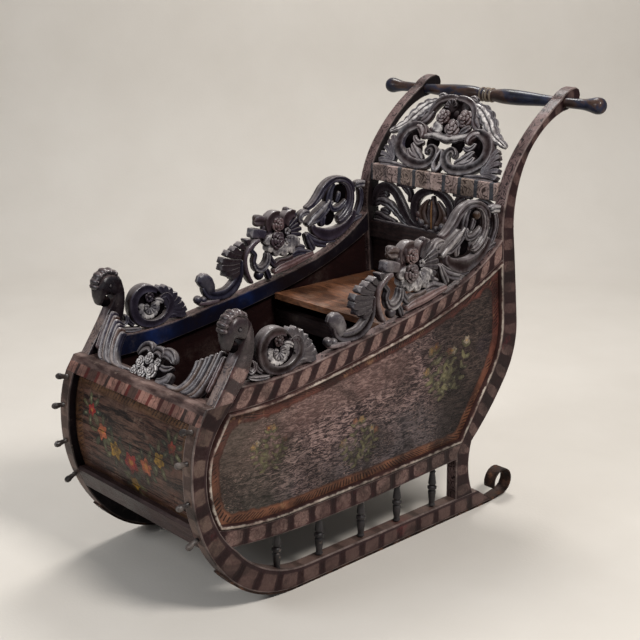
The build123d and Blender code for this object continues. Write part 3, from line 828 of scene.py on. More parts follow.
def front_panel_finish(name):
    """Painted front panel: red-brown boards with open joints and fine cracks, a faint ochre border with
    dashes, and a hanging garland of red, orange, pink and ochre flowers among dark leaves."""
    finish, r, shader, place = new_finish(name)
    grain = r.group("Wood grain", Place=r.stretch(place, (0.6, 3.0, 6.0)))
    streak = r.fit(grain["Grain"], 0.42, 0.57)
    clouds = r.noise(place, 8.0, 5.0, 0.65)
    ground = r.mix(streak, tone(20, 12, 12), tone(94, 70, 60))
    redder = r.mix(streak, tone(28, 17, 16), tone(80, 52, 44))
    ground = r.mix(r.fit(clouds, 0.44, 0.6, 0.0, 0.65), ground, redder)
    ground = r.mix(r.fit(r.noise(place, 60.0, 3.0), 0.56, 0.70, 0.0, 0.4), ground, tone(124, 104, 90))
    paints = {"Green 1": tone(44, 52, 44), "Green 2": tone(96, 94, 66), "Bloom 1": tone(156, 52, 48),
              "Bloom 2": tone(188, 104, 70), "Bloom 3": tone(190, 146, 56)}
    sprigs = r.group("Painted sprigs", Place=place, Ground=ground, **paints)
    colour = panel_border(r, place, sprigs["Colour"], tone(112, 80, 50), 0.030, 0.45)
    wander = (r.noise(place, 5.0) - 0.5) * 0.006
    board = 0.098
    part = r.sum("FRACT", (r.axis(place, "Z") + wander) / board)
    joint = r.fit(abs(part - 0.5), 0.016, 0.004)
    cracks = r.cells(r.stretch(place, (1.0, 2.0, 4.0)), 22.0, "DISTANCE_TO_EDGE")
    crack = r.sum("MAXIMUM", joint, r.fit(cracks, 0.014, 0.0) * r.fit(clouds, 0.5, 0.6, 0.0, 0.7))
    colour = r.mix(crack * 0.75, colour, tone(20, 13, 12))
    inside = r.fit(r.axis(r.normal(), "Y"), 0.2, 0.5)
    colour = r.mix(inside, colour, r.mix(streak, tone(16, 8, 9), tone(36, 20, 19)))
    aged(r, shader, colour, place, 0.0, 0.0009, grain["Grain"] - crack * 2.0)
    return finish


def worn_and_highlight_finish(name, paint, bare):
    """A moulding rubbed pale on its top, with paint left low on its sides; the pale top is also a painted
    highlight line.
    """
    finish, r, shader, place = new_finish(name)
    # rubbed wear and a painted highlight line: the top of the bead goes pale
    rub = r.mark("crown") + (r.noise(place, 40.0, 6.0, 0.7) - 0.5) * 1.3
    bare = r.mix(r.fit(r.noise(place, 12.0, 4.0), 0.35, 0.6), tone(116, 92, 84), bare)
    colour = r.mix(r.fit(rub, 0.72, 1.02), paint, bare)
    aged(r, shader, colour, place, 0.0, 0.0005)
    return finish


def bar_finish(name):
    """Turned bar: dark blue and brown paint in clouds, pale rings where ring is set, rubbed glossy."""
    finish, r, shader, place = new_finish(name)
    cloud = r.noise(r.stretch(place, (0.5, 1.0, 1.0)), 26.0, 4.0, 0.6, 0.8)
    colour = r.ramp(cloud, (0.3, tone(16, 16, 24)), (0.46, tone(38, 42, 60)), (0.56, tone(68, 50, 42)),
        (0.7, tone(28, 25, 29)))
    colour = r.mix(r.mark("ring") * 0.8, colour, r.mix(cloud, tone(120, 106, 90), tone(164, 150, 132)))
    aged(r, shader, colour, place, 0.0, 0.0004)
    shader["Coat Weight"].default_value = 0.15
    return finish


def iron_finish(name):
    """Wrought iron: near black with brown rust in clouds and pits."""
    finish, r, shader, place = new_finish(name)
    rust = r.noise(place, 45.0, 6.0, 0.7)
    pits = r.noise(place, 220.0, 4.0, 0.7)
    colour = r.ramp(rust, (0.36, tone(36, 31, 30)), (0.55, tone(62, 46, 40)), (0.72, tone(98, 66, 48)))
    r.join(shader["Base Color"], colour)
    r.join(shader["Roughness"], r.fit(rust, 0.35, 0.65, 0.42, 0.8))
    r.join(shader["Metallic"], r.fit(rust, 0.60, 0.46, 0.0, 0.7))
    r.join(shader["Normal"], r.bump(rust + pits * 0.6, 0.0008))
    return finish


def plain_finish(name, light, dark, shine=0.4):
    """Small turned or plain pieces in one old paint, paler where it is rubbed."""
    finish, r, shader, place = new_finish(name)
    colour = r.mix(r.fit(r.noise(place, 30.0, 5.0, 0.65), 0.35, 0.65), dark, light)
    aged(r, shader, colour, place, 0.25, 0.0005)
    shader["Specular IOR Level"].default_value = shine
    return finish


# ---------------------------------------------------------------- settings
def colour_property(name, description, *paint):
    return bpy.props.FloatVectorProperty(
        name=name, description=description, subtype="COLOR", size=3, min=0.0, max=1.0, default=tone(*paint))


def length_property(name, description, length, least):
    return bpy.props.FloatProperty(
        name=name, description=description, default=length, min=least, subtype="DISTANCE", unit="LENGTH")


class SleighColours(bpy.types.PropertyGroup):
    """Colours of the paints and woods."""

    block: colour_property("Block", "Mauve-brown blocks on the bars", 80, 56, 54)
    pale: colour_property("Pale oval", "Paler ovals inside the blocks", 142, 116, 108)
    oxblood: colour_property("Oxblood", "Dark bands between the blocks", 36, 19, 21)
    ground: colour_property("Panel ground", "Field of the painted panels", 80, 63, 64)
    border: colour_property("Panel border", "Orange-brown border of the panels", 118, 74, 55)
    grey: colour_property("Carving grey", "Ridges of the carvings", 80, 75, 81)
    brown: colour_property("Carving brown", "Brown clouds on the carvings", 78, 60, 60)
    blue: colour_property("Rider side blue", "Paint on the faces turned to the rider", 48, 50, 74)
    rail_blue: colour_property("Rail blue", "Inner faces of the top rails", 24, 40, 84)
    gilt: colour_property("Bud gold", "Brown and gold on the buds", 126, 88, 48)
    bench: colour_property("Bench", "Light grain of the bench boards", 134, 88, 60)


class SleighSizes(bpy.types.PropertyGroup):
    """Sizes of the painted and carved detail."""

    period: length_property("Block period", "Length of one block and one dark band", 0.055, 0.02)
    share: bpy.props.FloatProperty(
        name="Dark share", description="Part of the period that is dark", default=0.34, min=0.05, max=0.9,
        subtype="FACTOR")
    corner: length_property("Bar corner", "Radius of the corners of the bars", 0.003, 0.0005)
    bead: length_property("Bead width", "Width of the moulding round the side panels", 0.011, 0.004)
    carving: length_property("Carving thickness", "Thickness of the carved boards", 0.026, 0.01)


def ready_groups(context):
    """Makes the shared node groups once."""
    sizes = context.scene.sleigh_sizes
    if "Age" not in bpy.data.node_groups:
        grain_group()
        age_group()
        swirls_group()
        sprigs_group()
        blocks_group(sizes.period)


def tones_of(context):
    """The colours as plain tuples, by name."""
    colours = context.scene.sleigh_colours
    return SimpleNamespace(**{name: tuple(getattr(colours, name)) for name in SleighColours.__annotations__})


def carved_material(context):
    tones = tones_of(context)
    # the carvings' finish: weathered, with painted shade in the grooves and painted highlights on the ridges
    name = "Weathered carving"
    return bpy.data.materials.get(name) or carved_finish(name, tones.grey, tones.brown, tones.blue,
        tones.gilt, tone(150, 144, 144))


def striped_material(context, name, inner=None, phase=0.0, lean=0.0, bow=False, dim=0.0):
    return striped_finish(name, tones_of(context), inner or tone(30, 17, 19), tone(112, 92, 90), phase, lean,
        bow, dim)


def pair_of(name, solids, finish):
    """The left piece and its mirror image on the right."""
    build(f"left_{name}_detail", solids, finish, f"left_{name}")
    build(f"right_{name}_detail", mirrored(solids), finish, f"right_{name}")


def dress(names, finish):
    """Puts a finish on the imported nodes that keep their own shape."""
    for name in names:
        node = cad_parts[name]
        for slot in node.material_slots:
            slot.material = finish


# ---------------------------------------------------------------- operators
class SLEIGH_OT_stage(bpy.types.Operator):
    """Sets the camera, the pale floor and the soft lamps"""

    bl_idname = "sleigh.stage"
    bl_label = "Stage"

    def execute(self, context):
        scene = context.scene
        lens = bpy.data.cameras.new("Camera")
        lens.lens, lens.sensor_width = 69.01, 36.0
        camera = bpy.data.objects.new("Camera", lens)
        right, up = (0.67803, 0.73503, -0.00084), (-0.20871, 0.19362, 0.95862)
        back = 0.70478, -0.6498, 0.28469
        turn = Matrix((right, up, back)).transposed().to_4x4()
        camera.matrix_world = Matrix.Translation((2.09427, -1.95317, 1.35626)) @ turn
        scene.collection.objects.link(camera)
        scene.camera = camera
        scene.view_settings.view_transform = "Standard"

        finish, r, shader, place = new_finish("Pale floor")
        mottle = r.noise(place, 3.0, 4.0, 0.6)
        r.join(shader["Base Color"], r.mix(mottle, tone(196, 190, 182), tone(208, 203, 196)))
        r.join(shader["Roughness"], r.fit(mottle, 0.3, 0.7, 0.75, 0.9))
        r.join(shader["Normal"], r.bump(r.noise(place, 120.0), 0.0004))
        # from behind the wall or under the floor the camera sees through them
        seen = r.wire("Is Camera Ray", "ShaderNodeLightPath")
        r.join(shader["Alpha"], 1.0 - seen * r.wire("Backfacing", "ShaderNodeNewGeometry"))
        # the floor runs level, then turns up in a quarter circle to the wall behind
        reach, level, bend, top = 6.0, 2.2, 0.9, 5.0
        t = np.linspace(0, pi / 2, 12)
        run = np.concatenate([[-reach], level + bend * np.sin(t), [level + bend]])
        rise = np.concatenate([[0.0], bend - bend * np.cos(t), [top]])
        along = np.array([-reach, reach])
        forward, sideways = np.array([-0.735, 0.678]), np.array([0.678, 0.735])
        flat = run[:, None, None] * forward + along[None, :, None] * sideways
        points = np.concatenate([flat, np.broadcast_to(rise[:, None, None], flat.shape[:2] + (1,))], 2)
        i = np.arange(len(run) - 1) * 2
        mesh = bpy.data.meshes.new("floor")
        mesh.from_pydata(points.reshape(-1, 3).tolist(), [], np.stack([i, i + 1, i + 3, i + 2], 1).tolist())
        mesh.shade_smooth()
        mesh.materials.append(finish)
        floor = bpy.data.objects.new("floor", mesh)
        scene.collection.objects.link(floor)

        world = bpy.data.worlds.new("Soft light")
        world.use_nodes = True
        sky = world.node_tree.nodes["Background"].inputs
        sky["Color"].default_value = (0.90, 0.93, 0.97, 1.0)
        sky["Strength"].default_value = 0.26
        scene.world = world
        aim = Vector((0.0, 0.0, 0.5))
        lamps = (("key", (2.5, -0.2, 3.3), 1.0, 120.0, (1.0, 0.97, 0.93)),
                 ("fill", (-1.0, -3.4, 2.6), 1.6, 62.0, (0.94, 0.97, 1.0)),
                 ("top", (-1.2, 1.3, 3.4), 1.2, 78.0, (1.0, 0.98, 0.95)))
        for name, spot, size, power, colour in lamps:
            light = bpy.data.lights.new(name, "AREA")
            light.shape, light.size, light.energy, light.color = "DISK", size, power, colour
            lamp = bpy.data.objects.new(name, light)
            lamp.location = spot
            lamp.rotation_euler = (aim - Vector(spot)).to_track_quat("-Z", "Y").to_euler()
            scene.collection.objects.link(lamp)
        return {"FINISHED"}


class SLEIGH_OT_side_bars(bpy.types.Operator):
    """Builds the runners, back posts, top rails and lower rails of both side frames"""

    bl_idname = "sleigh.side_bars"
    bl_label = "Side bars"

    def execute(self, context):
        ready_groups(context)
        sizes = context.scene.sleigh_sizes
        corner, share = sizes.corner / MM, sizes.share
        tones = tones_of(context)

        # the bow ends in the outline of the front rail, just inside it
        outer = chain((351, 5), (-330, 4), ((-439, 33), (-535, 117)), ((-588, 225), (-603, 350)),
                      ((-598, 400), (-582.6, 450)), (-560.3, 484.3), (-540, 484.6))
        inner = chain((292, 48), (-290, 48), ((-400, 75), (-490, 150)), ((-549, 240), (-564, 340)),
                      ((-551, 400), (-508, 464)), (-499.3, 474.5), (-490.7, 484.6))
        rise = smooth_step(((outer + inner)[:, 1] / 2 - 80) / 140)
        bow = bent_bar(outer, inner, BACK, FACE, corner, share - 0.12 + 0.16 * rise, 0.86)
        pair_of("runner", [bow], striped_material(context, "Bow blocks", None, 0.012, 0.0, True, 0.62))

        front = chain((210, 48), (208, 172), (325, 342), ((357, 400), (369, 486)), ((360, 600), (351, 710)),
            ((365, 805), (405, 880)), ((475, 955), (560, 1014)), ((592, 1036), (618, 1041)), (628, 1037),
            count=24)
        rear = chain((276, 48), ((256, 125), (265, 193)), ((330, 258), (390, 337)), ((418, 400), (424, 475)),
            ((412, 581), (398, 690)), ((404, 810), (443, 897)), ((500, 951), (572, 985)),
            ((605, 993), (634, 1010)), (636, 1020), count=24)
        post = bent_bar(rear, front, BACK, FACE, corner, share + 0.12)
        finish = striped_material(context, "Post blocks", tone(34, 23, 28), 0.02, 0.004, False, 0.60)
        pair_of("back_post", [post], finish)

        above = chain((-467.6, 513), (-400, 509), ((-310, 513), (-190, 530)), ((-10, 557), (164, 593)),
            ((265, 632), (375, 712)))
        below = chain((-508, 464), ((-410, 462), (-311, 470)), ((-130, 496), (63, 532)),
            ((215, 577), (375, 648)))
        rail = bent_bar(*pairs(above, below, 120), BACK + 0.5, FACE - 0.5, corner, share)
        finish = striped_material(context, "Rail blocks", tones.rail_blue, 0.01, -0.015, False, 0.10)
        pair_of("top_rail", [rail], finish)

        above = chain((-560, 218), ((-450, 194), (-300, 187)), (-100, 188), (240, 196))
        below = chain((-510, 162), ((-370, 147), (-240, 142)), (-100, 142), (240, 157))
        rail = bent_bar(*pairs(above, below, 90), BACK + 0.5, FACE - 0.5, corner, share - 0.16, 0.86)
        pair_of("lower_rail", [rail], striped_material(context, "Lower blocks", None, 0.0, 0.0, False, 0.28))
        return {"FINISHED"}


class SLEIGH_OT_cross_bars(bpy.types.Operator):
    """Builds the rail across the bow and the painted rail across the back"""

    bl_idname = "sleigh.cross_bars"
    bl_label = "Cross bars"

    def execute(self, context):
        ready_groups(context)
        front = straight_bar([(-583, 450), (-560, 485), (-540, 485), (-540, 450)], -FACE + 0.4, FACE - 0.4,
            4.0, 60)
        inside = straight_bar([(-541, 450.2), (-541, 484.8), (-514, 484.8), (-514, 450.2)], -BACK, BACK, 2.5,
            12)
        finish = self.squares("Front rail blocks", 0.04, (tone(150, 110, 98), tone(112, 86, 78),
            tone(56, 43, 38)))
        build("front_rail_detail", [front, inside], finish, "front_rail")
        back = straight_bar([(364, 780), (364, 824), (390, 824), (390, 780)], -BACK, BACK, 2.5, 40)
        finish = self.squares("Back rail squares", 0.052, (tone(176, 154, 146), tone(152, 132, 128),
            tone(152, 134, 122)), True)
        build("upper_back_rail_detail", [back], finish, "upper_back_rail")
        return {"FINISHED"}

    def squares(self, name, period, paints, curled=False):
        """Painted squares of changing colours with dark lines between. On the bow they keep to the lower part
        of the rail, under worn bare wood; on the back they carry small curls and slate-blue bars."""
        finish, r, shader, place = new_finish(name)
        along = r.mark("along")
        step = (along + r.noise(place, 20.0, 2.0) * 0.012) / period
        part = r.sum("FRACT", step)
        pick = r.pick(step)
        colour = r.ramp(pick, (0.0, paints[0]), (0.35, paints[1]), (0.65, paints[0]), (0.95, paints[2]))
        mottle = r.noise(place, 90.0, 5.0, 0.7, 1.0)
        colour = r.mix(r.fit(mottle, 0.42, 0.7, 0.0, 0.7), colour, tone(48, 34, 32))
        split = r.fit(abs(part - 0.66), 0.03, 0.0)
        if curled:
            curls = r.group("Painted curls", Place=r.stretch(place, (34.0, 20.0, 30.0)))
            colour = r.mix(curls["Mark"] * 0.85, colour, tone(38, 26, 24))
            bar = r.fit(part, 0.0, 0.03) * r.fit(part, 0.28, 0.22)
            bar = bar * r.fit(pick, 0.2, 0.4, 0.3, 1.0)
            colour = r.mix(bar * 0.9, colour, r.mix(mottle, tone(26, 30, 36), tone(72, 80, 88)))
        else:
            colour = r.mix(split * 0.8, colour, tone(48, 28, 26))
            bar = r.fit(part, 0.0, 0.03) * r.fit(part, 0.31, 0.26)
            deep = r.mix(r.fit(pick, 0.4, 0.6), tone(38, 28, 26), tone(84, 32, 28))
            colour = r.mix(bar * 0.92, colour, deep)
            height = r.axis(place, "Z")
            rough = (mottle - 0.5) * 0.006
            wood = r.mix(r.fit(r.noise(r.stretch(place, (0.25, 1.0, 1.0)), 70.0, 4.0), 0.35, 0.65),
                tone(64, 46, 43), tone(116, 96, 90))
            colour = r.mix(r.fit(height + rough, 0.4715, 0.4735), colour, wood)
        aged(r, shader, colour, place, r.fit(r.mark("across"), 0.8, 1.0, 0.0, 0.4), 0.0007, mottle)
        return finish


class SLEIGH_OT_panels(bpy.types.Operator):
    """Builds the side panels with their moulding and the bowed front panel"""

    bl_idname = "sleigh.panels"
    bl_label = "Panels"

    def execute(self, context):
        ready_groups(context)
        outline = self.outline_of("left_side_panel")
        field = side_panel_finish("Painted side panel", tones_of(context))
        pair_of("side_panel", [self.sheet(outline, *PANEL[:2])], field)
        # the moulding: rubbed wear, and a painted highlight line along its top
        bead = worn_and_highlight_finish("Rubbed moulding", tone(58, 38, 36), tone(184, 172, 160))
        width = context.scene.sleigh_sizes.bead / MM
        pair_of("panel_moulding", [self.bead(outline, width, *PANEL[1:])], bead)
        self.front()
        return {"FINISHED"}

    def outline_of(self, name):
        """The outline of a flat panel node, in order of angle round its middle, as even points."""
        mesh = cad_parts[name].data
        flat = np.empty(len(mesh.vertices) * 3)
        mesh.vertices.foreach_get("co", flat)
        rim = np.unique(np.round(flat.reshape(-1, 3)[:, 1:] / MM, 2), axis=0)
        turn = np.arctan2(*(rim - PANEL_MIDDLE).T[::-1])
        rim = rim[np.argsort(turn)]
        return even(np.vstack([rim, rim[:1]]), 481)[:-1]

    def sheet(self, outline, back, front):
        """Both faces of the panel as rings that shrink to a middle point. along is the run round the outline,
        and field the distance to it with rounded corners: the rounding less the distance to the points that
        lie farther than the rounding from the outline."""
        face = np.concatenate([[1.0], 1 - np.linspace(0.004, 0.30, 26), np.linspace(0.685, 0.02, 44)])
        parts = np.concatenate([[0.02, 0.5], face[::-1]])
        rings = PANEL_MIDDLE + (outline - PANEL_MIDDLE)[None] * parts[:, None, None]
        inner = rings[self.nearest(rings, outline) > ROUNDING]
        field = ROUNDING - self.nearest(rings, inner[::3])
        both = np.concatenate([rings[:2], outline[None], rings[2:][::-1]])
        field = np.concatenate([field[:2], field[-1:] * 0, field[2:][::-1]])
        x = np.concatenate([[back, back, back], np.full(len(both) - 3, front)])[:, None, None]
        points = np.concatenate([np.broadcast_to(x, both.shape[:2] + (1,)), both], 2)
        marks = self.painted(both, self.sprays())
        return solid(points, field=field * MM, along=run_of(outline)[None] * MM, **marks)

    def nearest(self, points, line):
        """The distance from each of the points to the nearest of another set."""
        flat = points.reshape(-1, 2)
        found = [np.sqrt(((part[:, None] - line[None]) ** 2).sum(2).min(1))
                 for part in np.array_split(flat, 40)]
        return np.concatenate(found).reshape(points.shape[:-1])

    def painted(self, points, drawn):
        """The four marks of the painted sprigs. For a leaf (place, turn, length, width, pick) the distance is
        that of an ellipse; for a flower its edge swells five times round."""
        flat = points.reshape(-1, 2)
        marks = {}
        for name, rows in zip(("leaf", "bloom"), drawn):
            off = flat[:, None] - rows[None, :, :2]
            c, s = np.cos(rows[:, 2]), np.sin(rows[:, 2])
            u = (off[..., 0] * c + off[..., 1] * s) / rows[:, 3]
            v = (off[..., 1] * c - off[..., 0] * s) / rows[:, 4]
            reach = np.sqrt(u * u + v * v)
            if name == "bloom":
                reach = reach / (0.82 + 0.18 * np.cos(5 * np.arctan2(v, u)))
            best = reach.argmin(1)
            marks[name] = reach[np.arange(len(flat)), best].reshape(points.shape[:-1])
            marks[name + "pick"] = rows[best, 5].reshape(points.shape[:-1])
        return marks

    def sprays(self):
        """Three loose sprays on the side panel: stems that fan up from a foot, with leaves in pairs on them
        and a small flower at the end of each."""
        leaves, blooms = [], []
        for y, z, size, turns in ((-395, 300, 0.8, (150, 118, 84, 52, 24)),
                (-120, 236, 0.9, (158, 128, 96, 60, 28)), (178, 330, 1.15, (164, 138, 112, 88, 62, 36))):
            for number, turn in enumerate(turns):
                angle, reach = radians(turn), size * (96 + 24 * (number % 2))
                for step in range(1, 6):
                    bend = angle + 0.10 * step * (1 if turn < 90 else -1)
                    py, pz = y + cos(bend) * reach * step / 5.4, z + sin(bend) * reach * step / 5.4
                    for way in (-1, 1):
                        lean = bend + way * 0.85
                        leaves.append((py + 9 * size * cos(lean), pz + 9 * size * sin(lean), lean, 12 * size,
                            5 * size, (number * 3 + step * 2 + way) % 5 / 4))
                blooms.append((y + cos(bend) * reach * 1.04, z + sin(bend) * reach * 1.04, turn, 12 * size,
                    12 * size, number * 0.37 % 1))
        return np.array(leaves, float), np.array(blooms, float)

    def bead(self, outline, width, low, high):
        """A half round carried round the panel inside its outline, mitred where the outline turns."""
        ahead = np.roll(outline, -1, 0) - outline
        ahead /= np.linalg.norm(ahead, axis=1)[:, None]
        behind = np.roll(ahead, 1, 0)
        into = np.stack([-(ahead + behind)[:, 1], (ahead + behind)[:, 0]], 1)
        into /= np.linalg.norm(into, axis=1)[:, None]
        into /= np.clip((into * np.stack([-ahead[:, 1], ahead[:, 0]], 1)).sum(1), 0.5, 1)[:, None]
        turn = np.linspace(0, pi, 11)
        off = np.concatenate([width / 2 - width / 2 * np.cos(turn), [width, 0.0]])
        rise = np.concatenate([low + (high - low) * np.sin(turn) ** 0.8, [low - 0.5, low - 0.5]])
        place = outline[:, None] + into[:, None] * off[None, :, None]
        points = np.concatenate([np.broadcast_to(rise[None, :, None], place.shape[:2] + (1,)), place], 2)
        # crown is highest on the top of the half round, which the finish rubs pale and paints as a highlight
        # line
        crown = np.concatenate([np.sin(turn), [0.0, 0.0]])
        return solid(points, closed=True, crown=crown, along=run_of(outline)[:, None] * MM)

    def front(self):
        """The bowed sheet between the bows: an arc through three heights carried across the sleigh."""
        outer = chain((-562, 450), ((-577, 400), (-582, 350)), ((-569, 235), (-528, 148)), count=34)
        inner = chain((-550, 450), ((-565, 402), (-570, 350)), ((-557, 240), (-517, 155)), count=8)
        loop = np.vstack([outer, inner[::-1]])
        x = np.linspace(-BACK, BACK, 150)
        points = np.concatenate([np.broadcast_to(x[:, None, None], (150, len(loop), 1)),
                                 np.broadcast_to(loop[None], (150, len(loop), 2))], 2)
        run = np.concatenate([run_of(outer), run_of(inner)[::-1]])[None]
        sides = BACK - np.abs(x)[:, None]
        ends = np.minimum(run, 250 - run)
        field = np.maximum(np.minimum(sides, ends), 0) * MM
        along = np.where(sides < ends, run, x[:, None] + 400) * MM
        flat = np.stack(np.broadcast_arrays(x[:, None], -run), 2)
        marks = self.painted(flat, self.garland())
        finish = front_panel_finish("Painted front panel")
        build("front_panel_detail", [solid(points, field=field, along=along, **marks)], finish, "front_panel")

    def garland(self):
        """A garland that hangs from both upper corners of the front panel: seven flowers on a sagging line, a
        drop of two under its middle, and leaves on both sides of each."""
        leaves, blooms = [], []
        spots = [(-150, -72, 17), (-108, -112, 22), (-58, -142, 24), (0, -154, 29), (58, -144, 24),
            (108, -114, 22), (152, -74, 17), (0, -206, 20), (4, -246, 13)]
        for number, (px, pz, size) in enumerate(spots):
            blooms.append((px, pz, number * 0.7, size, size, (number * 0.37 + 0.1) % 1))
            for step in range(7):
                turn = number * 0.5 + step * 0.9
                leaves.append((px + (size + 9) * cos(turn), pz + (size + 9) * sin(turn), turn, 15, 6.5,
                    step * 0.29 % 1))
        return np.array(leaves, float), np.array(blooms, float)


class SLEIGH_OT_finials(bpy.types.Operator):
    """Builds the swan-neck finials on the bows"""

    bl_idname = "sleigh.finials"
    bl_label = "Finials"

    def execute(self, context):
        ready_groups(context)
        front = chain((-540, 484.6), ((-507, 532), (-468, 594)), (-456, 616), count=24)
        back = chain((-490.7, 484.6), (-467.6, 513), ((-438, 565), (-434, 622)), (-440, 644), count=36)
        neck = bent_bar(*pairs(front, back, 48), BACK, FACE, 4.5, 0.42)
        marks = neck["marks"]
        marks.update(crown=0.92 - marks["across"] * 0.2, along=marks["along"] + 0.026,
                     painted=smooth_step((572 - neck["points"][:, 2]) / 24))
        parts = placed(self.head(), (MIDDLE, 0, 0), (0, 1, 0), (0, 0, 1), (1, 0, 0)) + [neck]
        tones = tones_of(context)
        # the finial's paint, with painted shade in its grooves and a painted highlight on its ridges and tops
        finish = carved_finish("Finial paint", tone(46, 34, 38), tone(42, 26, 29), tone(18, 14, 20),
            tone(150, 140, 130), tone(112, 99, 99), tones)
        pair_of("finial", parts, finish)
        return {"FINISHED"}

    def head(self):
        """The rolled head: a smooth pad on each side that runs down into the neck and the beak, with an eye
        in a ring, a comb of six low lobes over its top and brow, and behind the beak a black ball that paints
        the shade in its hollow."""
        # a black ball behind the beak: painted shade in the hollow
        parts = [ball(-480, 597, 13, 0, 1.1, 20, 0.0, pale=-1.0)]
        comb = ((-450, 657), (-460, 663), (-473, 666), (-485, 664), (-495, 657), (-502, 647), (-505, 637))
        parts.append(band([(*place, 6.5) for place in comb], 15.0, 0, 0.0, 70, 2.4))
        lobes = ((-453, 659, 8), (-465, 665, 9), (-480, 666, 9.5), (-493, 659, 9), (-502, 647, 8.5),
                 (-505, 636, 7.5))
        parts += [ball(y, z, size, 0, 17 / size, 22, 0.95) for y, z, size in lobes]
        cheek = chain((-440, 612), (-436, 636), ((-443, 653), (-458, 660)), ((-484, 660), (-494, 650)),
            ((-503, 638), (-508, 628)), (-507, 610), (-502, 593), (-496, 590), (-489, 604),
            ((-482, 611), (-466, 611)), (-450, 604), (-440, 612), count=10)
        parts.append(pillow(cheek, (-486, 636), 20.0, 2.8, 14, crown=0.8))
        eye = [
            ball(-474, 636, 8, 17.0, 0.5, 18, 0.3, pale=-0.6),
            ball(-474, 636, 4, 20.5, 0.6, 12, 0.7, pale=0.4),
        ]
        return parts + both_faces(eye)


